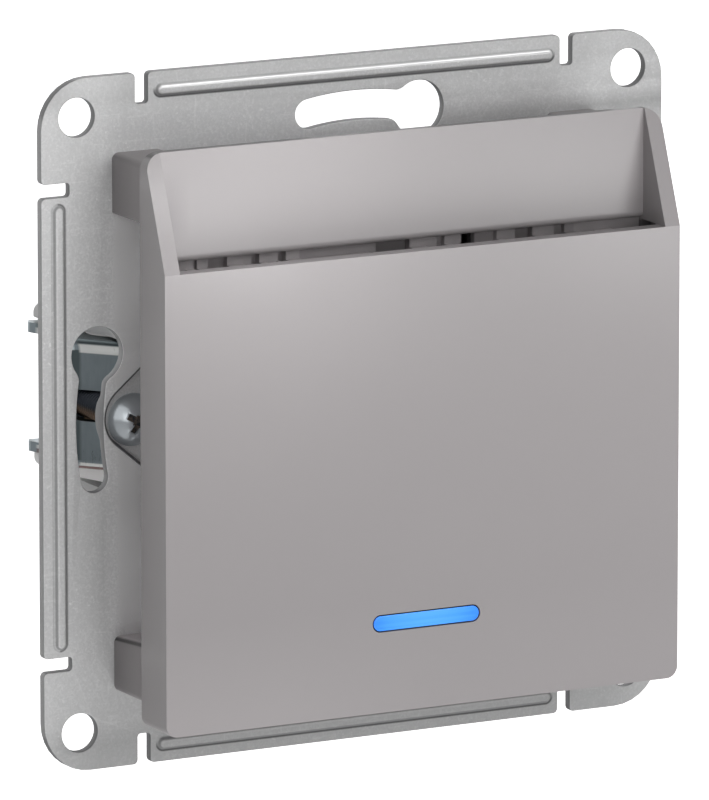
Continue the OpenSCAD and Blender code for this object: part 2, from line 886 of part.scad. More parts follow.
module switch_plunger() {
    tip_y = blade_y - running;
    collar_y = lid_y1 + loose;
    color("white") {
        rod(0, plunger_z, plunger_front_y, tip_y - plunger_r, plunger_r);
        translate([0, tip_y - plunger_r, plunger_z])
            sphere(r = plunger_r);
        rod(0, plunger_z, collar_y, collar_y + 1, plunger_r + 1);
    }
}

// Clamp cage number k: a loop round its bar, with the screw's thread in its upper wall.
module terminal_cage(k) {
    x = terminal_x[k];
    color("goldenrod")
        difference() {
            block([x - cage_w / 2, cage_y0, cage_window_bottom - cage_wall],
                [x + cage_w / 2, cage_y1, cage_window_top + cage_wall]);
            block([x - cage_w / 2 + cage_side, cage_y0 - past, cage_window_bottom],
                [x + cage_w / 2 - cage_side, cage_y1 + past, cage_window_top]);
            translate([x, cage_y, bar_top])
                cylinder(h = cage_window_top + cage_wall, r = terminal_screw_r + running);
        }
}

// Clamp screw number k, held between its bar and the casing's wall.
module terminal_screw(k) {
    slot_w = 0.8;
    color("silver")
        translate([terminal_x[k], cage_y, 0])
            difference() {
                union() {
                    translate([0, 0, bar_top + 0.02])
                        cylinder(h = head_bottom - bar_top, r = terminal_screw_r);
                    translate([0, 0, head_bottom])
                        cylinder(h = head_t, r = terminal_head_r);
                }
                block([-0.8 * terminal_head_r, -slot_w / 2, head_bottom + 0.5 * head_t],
                    [0.8 * terminal_head_r, slot_w / 2, head_bottom + head_t + past]);
            }
}

// Outline of a claw's arm beyond its web, as places across and along the web: a shoulder and three teeth.
arm_across = [0.8, 3.4, 4.1, 5.1, 5.7, 6.7, 7.7, 9.3, 2.4];
arm_along = [11.8, 13.6, 13.3, 14.8, 14.4, 15.9, 16.4, 14.2, 8];
arm_points = [for (i = [0:len(arm_across) - 1]) [arm_across[i], arm_along[i]]];

// The left claw: a web with a slot for its screw, two arms with teeth, and a trunnion on each arm.
module claw() {
    screw_room = claw_screw_r + 0.2;
    translate([-pivot_x, pivot_y, 0])
        rotate([0, 0, web_angle]) {
            difference() {
                block([-claw_t / 2, web_start, -claw_inner_half - claw_t / 2],
                    [claw_t / 2, web_end, claw_inner_half + claw_t / 2]);
                block([-claw_t, slot_start, -screw_room], [claw_t, slot_end, screw_room]);
            }
            for (side = [0, 1])
                mirror([0, 0, side]) {
                    translate([0, 0, claw_inner_half])
                        linear_extrude(claw_t) {
                            circle(r = eye_r);
                            polygon(concat([[-claw_t / 2, 0], [-claw_t / 2, web_end]], arm_points,
                                [[eye_r, 0]]));
                        }
                    translate([0, 0, claw_outer_half - claw_t / 2])
                        cylinder(h = guard_outer - claw_outer_half + claw_t / 2 - 0.05, r = trunnion_r);
                }
        }
}

module claw_left() {
    color("slategray")
        claw();
}

module claw_right() {
    color("slategray")
        mirror([1, 0, 0])
            claw();
}

module claw_screw(side) {
    crown = 1.85;
    slot_w = 0.6;
    color("lightsteelblue")
        translate([side * claw_x, 0, 0])
            difference() {
                union() {
                    rotate([90, 0, 0])
                        rotate_extrude()
                            polygon([[0, -0.2], [claw_screw_r, -0.2], [claw_screw_r, 0], [claw_head_r, 0],
                                [claw_head_r, 0.5], [0.85 * claw_head_r, 1.2], [0.5 * claw_head_r, 1.7],
                                [0, crown]]);
                    rod(0, 0, 0, claw_screw_length, claw_screw_r);
                }
                for (turn = [20, 110])
                    rotate([0, turn, 0])
                        block([-0.6 * claw_head_r, -crown - past, -slot_w / 2],
                            [0.6 * claw_head_r, -0.5 * crown, slot_w / 2]);
            }
}

module claw_screw_left() {
    claw_screw(-1);
}

module claw_screw_right() {
    claw_screw(1);
}

module claw_nut(side) {
    color("goldenrod")
        difference() {
            translate([side * claw_x, nut_y, 0])
                cylinder(h = 2 * nut_half, r = claw_nut_r, center = true);
            rod(side * claw_x, 0, nut_y - 2 * claw_nut_r, nut_y + 2 * claw_nut_r, claw_screw_r + running);
        }
}

module claw_nut_left() {
    claw_nut(-1);
}

module claw_nut_right() {
    claw_nut(1);
}

mounting_plate();
front_cover();
card_carrier();
status_lens();
light_pipe();
led_board();
status_leds();
led_leads();
rear_housing();
housing_lid();
assembly_screws();
circuit_board();
dropper_capacitor();
rectifier();
board_resistors();
common_bar();
switched_bar();
neutral_bar();
fixed_contact();
contact_blade();
moving_contact();
blade_pin();
contact_spring();
card_lever();
lever_pin();
lever_spring();
switch_plunger();
terminal_cage(0);  // terminal_cage_1
terminal_cage(1);  // terminal_cage_2
terminal_cage(2);  // terminal_cage_3
terminal_screw(0);  // terminal_screw_1
terminal_screw(1);  // terminal_screw_2
terminal_screw(2);  // terminal_screw_3
claw_left();
claw_right();
claw_screw_left();
claw_screw_right();
claw_nut_left();
claw_nut_right();
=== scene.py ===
"""Looks of the hotel key card switch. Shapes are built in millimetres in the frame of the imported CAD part
(+X right, +Y into the wall, +Z up, plate's back face at Y = 0) and scaled to metres when they are placed."""

import math

import bmesh
import bpy
import numpy as np
from mathutils import Matrix, Vector
from mathutils.geometry import delaunay_2d_cdt


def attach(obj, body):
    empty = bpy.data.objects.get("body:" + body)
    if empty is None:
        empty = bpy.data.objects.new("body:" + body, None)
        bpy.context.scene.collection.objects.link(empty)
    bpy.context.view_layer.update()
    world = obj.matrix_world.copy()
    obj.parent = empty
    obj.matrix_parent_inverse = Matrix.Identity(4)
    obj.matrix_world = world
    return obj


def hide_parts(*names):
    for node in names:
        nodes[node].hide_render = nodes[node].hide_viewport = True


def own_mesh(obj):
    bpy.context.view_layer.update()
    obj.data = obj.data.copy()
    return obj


MM = 0.001
scene = bpy.context.scene
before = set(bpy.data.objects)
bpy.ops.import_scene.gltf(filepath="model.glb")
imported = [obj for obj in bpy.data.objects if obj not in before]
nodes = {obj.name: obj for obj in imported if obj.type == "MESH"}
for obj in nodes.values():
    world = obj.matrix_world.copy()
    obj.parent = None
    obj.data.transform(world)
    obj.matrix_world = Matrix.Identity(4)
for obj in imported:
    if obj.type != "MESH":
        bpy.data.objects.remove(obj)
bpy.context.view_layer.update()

# Sizes that shapes and materials share, in millimetres
PLATE = 35.5  # half width of the support plate
CLAW_X, HEAD_CROWN = 25.0, 1.85  # claw screws: distance from the middle, height of their heads
LENS_X, LENS_Z, LENS_FRONT = 0.16, -20.04, -15.95  # middle of the lens, and its front's Y


# ---- Materials -------------------------------------------------

BLACK, WHITE = (0, 0, 0), (1, 1, 1)


class Shader:
    """A Principled material with its nodes placed in object space, in metres."""

    def __init__(self, name, rough, metal=0, **fixed):
        self.mat = bpy.data.materials.new(name)
        self.mat.use_nodes = True
        self.tree = self.mat.node_tree
        self.bsdf = self.tree.nodes["Principled BSDF"]
        self.bsdf.inputs["Roughness"].default_value = rough
        self.bsdf.inputs["Metallic"].default_value = metal
        for key, value in fixed.items():
            self.bsdf.inputs[key.replace("_", " ")].default_value = value
        self.coord = self.tree.nodes.new("ShaderNodeTexCoord").outputs["Object"]

    def node(self, kind, **values):
        made = self.tree.nodes.new(kind)
        for key, value in values.items():
            if key in made.inputs:
                made.inputs[key].default_value = value
            else:
                setattr(made, key, value)
        return made

    def link(self, source, target):
        self.tree.links.new(source, target)

    def stretched(self, scale, turn=(0, 0, 0)):
        node = self.node("ShaderNodeMapping")
        node.inputs["Scale"].default_value = scale
        node.inputs["Rotation"].default_value = turn
        self.link(self.coord, node.inputs["Vector"])
        return node.outputs["Vector"]

    def noise(self, scale, detail=3, rough=0.55, vector=None):
        node = self.node("ShaderNodeTexNoise", Scale=scale, Detail=detail, Roughness=rough)
        self.link(vector or self.coord, node.inputs["Vector"])
        return node.outputs["Fac"]

    def cells(self, scale):
        node = self.node("ShaderNodeTexVoronoi", Scale=scale)
        self.link(self.coord, node.inputs["Vector"])
        return node

    def ramp(self, value, *stops):
        node = self.node("ShaderNodeValToRGB")
        elements = node.color_ramp.elements
        while len(elements) < len(stops):
            elements.new(0.5)
        for element, (place_at, colour) in zip(elements, stops):
            element.position = place_at
            element.color = (*colour, 1.0)
        self.link(value, node.inputs["Fac"])
        return node.outputs["Color"]

    def span(self, value, low, high, source=(0, 1)):
        node = self.node("ShaderNodeMapRange")
        for key, number in zip(("From Min", "From Max", "To Min", "To Max"), (*source, low, high)):
            node.inputs[key].default_value = number
        self.link(value, node.inputs["Value"])
        return node.outputs["Result"]

    def mix(self, factor, a, b, blend="MIX"):
        node = self.node("ShaderNodeMix", data_type="RGBA", blend_type=blend)
        for socket, value in ((node.inputs[0], factor), (node.inputs[6], a), (node.inputs[7], b)):
            if isinstance(value, (int, float)):
                socket.default_value = value
            elif isinstance(value, tuple):
                socket.default_value = (*value, 1.0)
            else:
                self.link(value, socket)
        return node.outputs[2]

    def add(self, a, b, operation="ADD"):
        node = self.node("ShaderNodeMath", operation=operation)
        for socket, value in zip(node.inputs, (a, b)):
            if isinstance(value, (int, float)):
                socket.default_value = value
            else:
                self.link(value, socket)
        return node.outputs[0]

    def product(self, *values):
        out = values[0]
        for value in values[1:]:
            out = self.add(out, value, "MULTIPLY")
        return out

    def total(self, base, *shares):
        """The base plus each value times its weight."""
        for value, weight in shares:
            base = self.add(base, self.product(value, weight))
        return base

    def size(self, value):
        return self.add(value, 0, "ABSOLUTE")

    def axes(self, output="Object"):
        """X, Y and Z of the place on the piece, or of its surface normal."""
        node = self.node("ShaderNodeSeparateXYZ")
        self.link(self.node("ShaderNodeTexCoord").outputs[output], node.inputs[0])
        return node.outputs

    def step(self, value, start, end):
        """0 at start, 1 at end."""
        return self.span(value, 0, 1, (start, end))

    def rise(self, value, start, end):
        """0 at start, 1 at end, both in millimetres."""
        return self.step(value, start * MM, end * MM)

    def mark(self, layer):
        """A value that the mesh carries on its vertices."""
        return self.node("ShaderNodeAttribute", attribute_name=layer).outputs["Fac"]

    def bump(self, height, depth_mm):
        node = self.node("ShaderNodeBump", Distance=depth_mm * MM, Strength=1)
        self.link(height, node.inputs["Height"])
        before = self.bsdf.inputs["Normal"]
        if before.is_linked:
            self.link(before.links[0].from_socket, node.inputs["Normal"])
        self.link(node.outputs["Normal"], before)

    def set(self, socket, value):
        self.link(value, self.bsdf.inputs[socket])


def shade(colour, factor):
    return tuple(min(1.0, c * factor) for c in colour)


def moulded(name, colour, rough, grain=0.006, grain_scale=5200, spread=0.035, uneven=0.05, painted_shading=None):
    """Moulded plastic: a fine spark-eroded grain, cloudy roughness and slight uneven colour, times any painted
    light and shade.
    """
    s = Shader(name, rough)
    cloud = s.noise(140, 4)
    fine = s.noise(grain_scale, 3, 0.6)
    tone = s.mix(cloud, shade(colour, 1 - spread), shade(colour, 1 + spread))
    # painted light and shade, when given, multiply the colour
    s.set("Base Color", s.mix(1, tone, painted_shading(s), "MULTIPLY") if painted_shading else tone)
    s.set("Roughness", s.span(s.add(cloud, fine), rough - uneven, rough + uneven, (0.6, 1.4)))
    s.bump(fine, grain)
    return s.mat


def plated(name, colour, rough, scratch=0.004, cloud_scale=420, spread=0.12, along=(1, 1, 1)):
    """Bright plated metal: cloudy passivation and fine turned or rolled lines."""
    s = Shader(name, rough, 1)
    cloud = s.noise(cloud_scale, 4)
    lines = s.noise(900, 3, 0.6, s.stretched(along))
    s.set("Base Color", s.mix(cloud, shade(colour, 1 - spread), shade(colour, 1 + spread)))
    s.set("Roughness", s.span(s.add(cloud, lines), rough - 0.07, rough + 0.09, (0.7, 1.3)))
    s.bump(lines, scratch)
    return s.mat


def cover_painted_light(s):
    """Painted shade on the top edge, the right cheek and the pocket corners, and painted light that lightens
    the front towards its lower left.
    """
    (x, y, z), facing = s.axes(), s.axes("Normal")
    front = s.step(facing["Y"], -0.6, -0.8)
    # painted light: the lower front lightened, most at its left
    low = s.product(s.rise(z, -18, -28), front, s.total(0.05, (s.rise(x, 2, -16), 0.09)))
    # painted shade: the pocket corner by the left cheek, the recess at the slot's right end, the top edge and
    # the right cheek's inner face
    nook = s.product(s.rise(x, -24, -26.2), s.rise(z, 27.6, 23), s.rise(z, 19.5, 21.5),
                     s.rise(y, -12.6, -12.2), front)
    end = s.product(s.rise(x, 26.5, 26.9), s.rise(z, 17.9, 17.5), s.rise(y, -13.9, -13.4))
    top = s.product(s.step(facing["Z"], 0.6, 0.8), s.rise(z, 28.6, 28.9))
    inner = s.product(s.step(facing["X"], -0.6, -0.8), s.rise(x, 26.9, 27.2))
    return s.total(1, (low, 1), (top, -0.6), (inner, -0.14), (nook, -0.17), (end, -0.6))


# Left and right end of each stretch of painted shade behind the card slot, and how dark it is
SLOT_SHADE_BAYS = [(-20.0, -16.9, 0.1), (-11.4, -2.7, 0.24), (-2.7, 1.2, 0.35), (7.0, 8.9, 0.75), (13.2, 15.3, 0.25),
             (17.7, 20.0, 0.2), (27.6, 29.0, 0.5)]
BAY_EDGE = 0.1


def carrier_painted_light(s):
    """Painted shade on feet that darken towards the plate and on their edges, painted light on the tops of the
    lower ones, and painted shade in bays behind the slot.
    """
    (x, y, z), facing = s.axes(), s.axes("Normal")
    # painted shade in the bays behind the card slot
    slot = s.product(s.rise(z, 15.5, 15.8), s.rise(y, -7, -7.4))
    bay_shade = 0
    for left, right, dark in SLOT_SHADE_BAYS:
        bay = s.product(s.rise(x, left - BAY_EDGE, left + BAY_EDGE),
                        s.rise(x, right + BAY_EDGE, right - BAY_EDGE))
        bay_shade = s.total(bay_shade, (bay, dark))
    # side and edge: painted shade on the feet; top: painted light on the lower feet's tops
    sideways = s.size(facing["X"])
    lower = s.rise(z, 0, -2)
    side = s.product(s.step(sideways, 0.5, 0.8), s.rise(y, -6, -1.2))
    top = s.product(s.step(facing["Z"], 0.75, 0.9), lower)
    edge = s.product(s.step(sideways, 0.3, 0.5), s.step(facing["Z"], 0.3, 0.5), lower)
    return s.total(1, (side, -0.34), (edge, -0.6), (top, 0.8), (s.product(slot, bay_shade), -1))


def casing_painted_light(s):
    """Painted light on the guard ribs beside the claws, most on the fronts of the lower ones."""
    (x, _, z), facing = s.axes(), s.axes("Normal")
    high = s.size(z)
    # painted light on the ribs, more on the lower ribs' fronts
    rib = s.product(s.rise(high, 6.6, 6.8), s.rise(high, 8.8, 8.6), s.rise(s.size(x), 21.2, 21.8))
    low = s.product(rib, s.rise(z, 0, -1), s.step(facing["Y"], 0.3, -0.3))
    return s.total(1, (rib, 0.6), (low, 1))


def zinc_sheet():
    """Galvanised steel sheet: small crystals of differing tone, bright specks and short random scuffs."""
    s = Shader("zinc_sheet", 0.55, 0.35)
    rubbed = (0.93, 0.93, 0.93)
    flakes = s.cells(2900)
    grain = s.noise(4300, 3, 0.6)
    patch = s.noise(160, 3, 0.5)
    tone = s.ramp(flakes.outputs["Color"], (0, (0.69, 0.692, 0.694)), (1, (0.79, 0.792, 0.794)))
    tone = s.mix(s.ramp(grain, (0.38, BLACK), (0.64, WHITE)), (0.66, 0.662, 0.664), tone)
    specks = s.ramp(s.noise(2300, 2, 0.5), (0.64, BLACK), (0.74, WHITE))
    worn = s.ramp(patch, (0.42, (0.1, 0.1, 0.1)), (0.66, (0.7, 0.7, 0.7)))
    tone = s.mix(s.product(specks, worn), tone, rubbed)
    scuffs = []
    for scale, along, turn, start in ((330, (1, 1, 8), 0.9, 0.67), (310, (7, 1, 1), 0.65, 0.68)):
        drawn = s.noise(scale, 2, 0.5, s.stretched(along, (0, turn, 0)))
        scuffs.append(s.ramp(drawn, (start, BLACK), (start + 0.03, WHITE)))
    tone = s.mix(s.product(s.add(*scuffs, "MAXIMUM"), 0.2), tone, rubbed)

    # Painted reflections and shade over the plate's face
    x, _, z = s.axes()
    aside, high = s.size(x), s.size(z)
    near = s.product(s.rise(aside, 28.8, 25.8), s.rise(high, 24, 20))
    out = s.rise(aside, 29, PLATE)
    over = s.product(s.rise(z, 31.8, 29.8), s.rise(z, 28, 29.5), s.rise(x, -20, 14))
    middle = s.product(s.rise(z, -4, 12), s.rise(z, 28, 20))
    under = s.product(s.rise(z, -22, -30), s.rise(aside, 35, 29))
    rim = s.rise(high, 30.5, 33)
    left = s.product(s.rise(z, 28.5, 31), s.rise(x, 12, -16), s.rise(x, -31, -26))
    corner = s.product(s.rise(x, 24, 30), s.rise(z, 24, 28), s.rise(z, 32, 30.4))
    painted_level = s.total(1, (near, 0.74), (out, -0.13), (middle, 0.09), (corner, -0.27), (over, 0.26),
                    (under, -0.26), (rim, -0.18), (left, -0.1))
    # painted shade on the floors of the screw dishes
    painted_level = s.product(painted_level, s.total(1, (s.mark("dish"), -0.25)))
    tone = s.mix(1, tone, painted_level, "MULTIPLY")
    # painted shade along the beads' feet and the dish walls
    tone = s.mix(s.product(s.mark("crease_shade"), 0.88), tone, (0.03, 0.03, 0.032))

    # Cut faces: dark as bare cut steel, with painted shade that makes them darker in the holes than on the
    # plate's outer edge
    cut = s.step(s.size(s.axes("Normal")["Y"]), 0.85, 0.55)
    edge = s.rise(s.add(aside, high, "MAXIMUM"), PLATE - 0.3, PLATE - 0.15)
    tone = s.mix(s.product(cut, s.total(0.8, (edge, -0.3))), tone, (0.16, 0.16, 0.165))
    # painted highlight on the beads' upper flanks: lighter, more metallic and smoother there
    flank_highlight = s.mark("flank_highlight")
    rough = s.total(s.span(s.add(grain, patch), 0.48, 0.66, (0.7, 1.3)), (corner, 0.35))
    s.set("Base Color", s.mix(flank_highlight, tone, (0.82, 0.82, 0.82)))
    s.set("Metallic", s.span(flank_highlight, 0.35, 0.75))
    s.set("Roughness", s.mix(flank_highlight, rough, (0.32, 0.32, 0.32)))
    s.bump(s.total(grain, (flakes.outputs["Distance"], 0.4)), 0.012)
    s.bump(patch, 0.05)
    return s.mat


def claw_steel():
    """Formed claw: rolled lines, painted highlights across the bends, rust, painted shade towards its teeth and
    on the upper bend, and tips lightened as a painted reflection.
    """
    s = Shader("claw_steel", 0.32, 1)
    x, _, z = s.axes()
    aside, high = s.size(x), s.size(z)
    cloud = s.noise(260)
    lines = s.noise(700, 3, 0.6, s.stretched((8, 1, 1)))
    tone = s.mix(cloud, (0.19, 0.225, 0.245), (0.26, 0.305, 0.325))
    tone = s.mix(s.product(lines, 0.25), tone, (0.45, 0.5, 0.53))
    # painted highlights across the upper and lower bends
    web = s.product(s.rise(aside, 26.6, 26.4), s.rise(aside, 20, 21))
    upper = s.product(s.rise(z, 5.4, 5.5), s.rise(z, 6.35, 6.22), web)
    lower = s.product(s.rise(z, -5.88, -5.96), s.rise(z, -6.32, -6.24), web)
    bright = s.add(upper, lower, "MAXIMUM")
    # painted shade towards the teeth and on the upper bend
    scale = s.add(s.product(s.rise(aside, 26.35, 26.6), s.rise(high, 5.75, 5.65)),
                  s.product(s.rise(z, 6.3, 6.4), web), "MAXIMUM")
    # tips lightened and made less metallic as a painted reflection
    tips = s.product(s.rise(aside, 26.8, 27), s.rise(high, 5.6, 5.7))
    rust = s.product(s.rise(z, -6.26, -6.33), web)
    tone = s.mix(s.product(scale, 0.85), tone, (0.1, 0.125, 0.13))
    tone = s.mix(tips, tone, (0.82, 0.9, 0.93))
    tone = s.mix(rust, tone, (0.2, 0.12, 0.11))
    s.set("Base Color", s.mix(bright, tone, (0.86, 0.87, 0.85)))
    s.set("Metallic", s.span(s.add(bright, s.product(tips, 0.8), "MAXIMUM"), 1, 0.1))
    s.set("Roughness", s.span(s.add(cloud, lines), 0.26, 0.42, (0.7, 1.3)))
    s.bump(lines, 0.0012)
    return s.mat


def head_steel():
    """Bright zinc head of a claw screw, with painted shade and brown painted reflections in its cross recess.
    """
    s = Shader("head_steel", 0.22, 0.45)
    x, y, z = s.axes()
    side = s.add(s.size(x), -CLAW_X * MM)
    square = s.add(s.product(side, side), s.product(z, z))
    dome = s.add(s.product(square, 0.222 / MM), -HEAD_CROWN * MM)
    sunk = s.rise(s.add(y, dome, "SUBTRACT"), 0.1, 0.3)
    recess = s.product(sunk, s.step(square, 4.2 * MM * MM, 3.8 * MM * MM))
    cloud = s.noise(260, 4)
    # painted shade and brown painted reflections in the cross recess
    recess_shade = s.ramp(s.noise(1500, 2), (0.42, (0.05, 0.055, 0.06)), (0.58, (0.34, 0.26, 0.2)))
    tone = s.mix(cloud, (0.7, 0.75, 0.79), (0.8, 0.86, 0.9))
    s.set("Base Color", s.mix(s.product(recess, 0.9), tone, recess_shade))
    s.set("Roughness", s.span(cloud, 0.18, 0.28))
    s.bump(cloud, 0.002)
    return s.mat


NEAR_BLACK = (0.035, 0.04, 0.05)


def shank_steel():
    """Threaded shank: nearly black above, brown below."""
    s = Shader("shank_steel", 0.42, 0.8)
    cloud = s.noise(700)
    tone = s.mix(cloud, (0.1, 0.07, 0.05), (0.17, 0.12, 0.085))
    s.set("Base Color", s.mix(s.rise(s.axes()["Z"], -0.5, 0.1), tone, NEAR_BLACK))
    s.bump(cloud, 0.004)
    return s.mat


def nut_brass():
    """Cross nut: brassy below, nearly black above, with darker ends."""
    s = Shader("nut_brass", 0.4, 0.6)
    x, _, z = s.axes()
    cloud = s.noise(900)
    tone = s.mix(cloud, (0.3, 0.2, 0.13), (0.56, 0.4, 0.27))
    tone = s.mix(s.rise(z, -1.15, -0.95), tone, NEAR_BLACK)
    s.set("Base Color", s.mix(s.rise(s.size(x), 25.2, 25.45), tone, (0.07, 0.085, 0.095)))
    s.bump(cloud, 0.01)
    return s.mat


def lens_blue():
    """Clear blue window, lit from behind: brighter towards its middle, ribbed inside, with a dark skirt."""
    s = Shader("lens_blue", 0.22, Coat_Weight=0.2, Coat_Roughness=0.08)
    x, y, _ = s.axes()
    out = s.add(s.product(s.add(x, -LENS_X * MM), 1 / (6.1 * MM)), 2, "POWER")
    lines = s.noise(3100, 2, 0.5, s.stretched((0.012, 1, 1)))
    bars = s.ramp(lines, (0.4, BLACK), (0.6, WHITE))
    glow = s.ramp(s.total(out, (bars, 0.3)), (0, (0.1, 0.42, 1)), (0.6, (0.06, 0.32, 0.98)),
                  (1.2, (0.03, 0.22, 0.95)))
    face = s.rise(y, LENS_FRONT + 0.17, LENS_FRONT + 0.09)
    s.set("Base Color", s.mix(face, (0.01, 0.03, 0.08), (0.03, 0.16, 0.6)))
    s.set("Emission Color", glow)
    s.set("Emission Strength", s.product(face, 0.78))
    return s.mat


def laminate():
    """Printed circuit board: green mask with woven glass and buried tracks."""
    s = Shader("laminate", 0.35)
    weave = s.node("ShaderNodeTexBrick", offset=0, Scale=1)
    for key, value in (("Mortar Size", 0.0005), ("Brick Width", 0.0022), ("Row Height", 0.0016),
                       ("Color1", (0.012, 0.11, 0.045, 1)), ("Color2", (0.014, 0.125, 0.05, 1)),
                       ("Mortar", (0.03, 0.2, 0.08, 1))):
        weave.inputs[key].default_value = value
    s.link(s.coord, weave.inputs["Vector"])
    s.set("Base Color", s.mix(s.product(s.noise(3000), 0.25), weave.outputs["Color"], (0.05, 0.2, 0.1)))
    s.bump(weave.outputs["Fac"], 0.02)
    return s.mat


def wound(name, colour, rough):
    """Dipped or moulded component body with a slightly rippled skin."""
    s = Shader(name, rough)
    ripple = s.noise(500)
    s.set("Base Color", s.mix(ripple, shade(colour, 0.85), shade(colour, 1.15)))
    s.set("Roughness", s.span(ripple, rough - 0.08, rough + 0.1))
    s.bump(ripple, 0.03)
    return s.mat


mats = {
    "zinc": zinc_sheet(),
    "cover": moulded("satin_cover", (0.365, 0.344, 0.349), 0.3, 0.0006, 9000, 0.006, 0.012, cover_painted_light),
    "carrier": moulded("carrier_plastic", (0.36, 0.337, 0.343), 0.5, 0.006, painted_shading=carrier_painted_light),
    "lens": lens_blue(),
    "clear": moulded("clear_plastic", (0.8, 0.86, 0.88), 0.12, 0.001),
    "laminate": laminate(),
    "led": moulded("led_body", (0.85, 0.8, 0.55), 0.3),
    "tin": plated("tinned_brass", (0.72, 0.66, 0.5), 0.25),
    "casing": moulded("casing_plastic", (0.43, 0.43, 0.43), 0.5, 0.012, 3000, 0.03, painted_shading=casing_painted_light),
    "lid": moulded("lid_plastic", (0.62, 0.62, 0.6), 0.45, 0.008),
    "lever": moulded("lever_plastic", (0.78, 0.77, 0.72), 0.35, 0.003),
    "screw": plated("bright_zinc_screw", (0.76, 0.82, 0.86), 0.16, 0.0012, 260, 0.04),
    "head": head_steel(),
    "thread": shank_steel(),
    "capacitor": wound("capacitor_shell", (0.55, 0.33, 0.04), 0.4),
    "black": wound("component_black", (0.02, 0.02, 0.022), 0.45),
    "resistor": wound("resistor_body", (0.5, 0.36, 0.2), 0.3),
    "copper": plated("copper_bar", (0.82, 0.5, 0.33), 0.24, 0.003, 300, 0.1, (1, 1, 12)),
    "silver": plated("silver_contact", (0.92, 0.91, 0.88), 0.15),
    "bronze": plated("bronze_blade", (0.76, 0.54, 0.28), 0.25, 0.002, 300, 0.08, (10, 1, 1)),
    "spring": plated("spring_steel", (0.55, 0.57, 0.6), 0.3, 0.002, 800, 0.1),
    "claw": claw_steel(),
    "cage": plated("cage_steel", (0.43, 0.49, 0.53), 0.3, 0.003, 350, 0.08, (1, 1, 10)),
    "brass": nut_brass(),
}


# ---- Mesh tools ------------------------------------------------


def obj_from(bm, name):
    mesh = bpy.data.meshes.new(name)
    bmesh.ops.recalc_face_normals(bm, faces=bm.faces)
    bm.to_mesh(mesh)
    bm.free()
    obj = bpy.data.objects.new(name, mesh)
    scene.collection.objects.link(obj)
    return obj


def bake(obj):
    """Applies the object's modifiers."""
    bpy.context.view_layer.update()
    mesh = bpy.data.meshes.new_from_object(obj.evaluated_get(bpy.context.evaluated_depsgraph_get()))
    obj.modifiers.clear()
    obj.data = mesh


def combine(obj, tools, operation="DIFFERENCE"):
    for tool in tools:
        step = obj.modifiers.new("step", "BOOLEAN")
        step.operation = operation
        step.solver = "EXACT"
        step.object = tool
    bake(obj)
    for tool in tools:
        bpy.data.objects.remove(tool)


def plain(obj, angle=0.4):
    """Joins coplanar faces, so that a bevel meets clean edges."""
    bm = bmesh.new()
    bm.from_mesh(obj.data)
    bmesh.ops.remove_doubles(bm, verts=bm.verts, dist=1e-4)
    bmesh.ops.dissolve_limit(bm, angle_limit=math.radians(angle), verts=bm.verts, edges=bm.edges)
    bm.to_mesh(obj.data)
    bm.free()


def round_edges(obj, width, segments, angle):
    step = obj.modifiers.new("edges", "BEVEL")
    step.width = width
    step.segments = segments
    step.limit_method = "ANGLE"
    step.angle_limit = math.radians(angle)
    step.loop_slide = False
    bake(obj)
    return obj


def place(obj, material, node, body="base", sharp=40, thread_from=None):
    """Scales a piece to metres, smooths it and puts it on its body in a CAD node's place."""
    mesh = obj.data
    if thread_from is not None:
        threaded = [face.center.y > thread_from for face in mesh.polygons]
    mesh.transform(Matrix.Scale(MM, 4))
    mesh.materials.clear()
    mesh.materials.append(mats[material])
    if thread_from is not None:
        mesh.materials.append(mats["thread"])
        mesh.polygons.foreach_set("material_index", [int(hit) for hit in threaded])
    mesh.polygons.foreach_set("use_smooth", [True] * len(mesh.polygons))
    mesh.set_sharp_from_angle(angle=math.radians(sharp))
    step = obj.modifiers.new("normals", "WEIGHTED_NORMAL")
    step.keep_sharp = True
    step.weight = 80
    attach(obj, body)
    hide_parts(node)
    return obj


def prism(outline, low, high, axis="Y", name="prism"):
    """Extrudes an outline: X-Z points along Y, Y-Z points along X, or X-Y points along Z."""
    spot = {"X": lambda a, b, t: (t, a, b), "Y": lambda a, b, t: (a, t, b),
            "Z": lambda a, b, t: (a, b, t)}[axis]
    bm = bmesh.new()
    ends = [[bm.verts.new(spot(a, b, t)) for a, b in outline] for t in (low, high)]
    count = len(outline)
    bm.faces.new(ends[0])
    bm.faces.new(ends[1][::-1])
    for i in range(count):
        j = (i + 1) % count
        bm.faces.new((ends[0][i], ends[1][i], ends[1][j], ends[0][j]))
    return obj_from(bm, name)


def block(low, high):
    corners = [(low[0], low[2]), (high[0], low[2]), (high[0], high[2]), (low[0], high[2])]
    return prism(corners, low[1], high[1], name="block")


def arc(x, z, r, start, end, steps):
    """Points on a circle, from one angle in degrees to another."""
    turns = [math.radians(start + (end - start) * i / steps) for i in range(steps + 1)]
    return [(x + r * math.cos(a), z + r * math.sin(a)) for a in turns]


def ring_loop(x, z, r, steps=48):
    return arc(x, z, r, 0, 360, steps)[:-1]


def stadium(length, height, steps=16):
    r = height / 2
    h = length / 2 - r
    return arc(h, 0, r, -90, 90, steps) + arc(-h, 0, r, 90, 270, steps)


def moved(points, dx, dz):
    return [(x + dx, z + dz) for x, z in points]


def quarter_turns(points):
    """The outline's copies on all four sides of the plate."""
    out = []
    for _ in range(4):
        out.append(points)
        points = [(-z, x) for x, z in points]
    return out


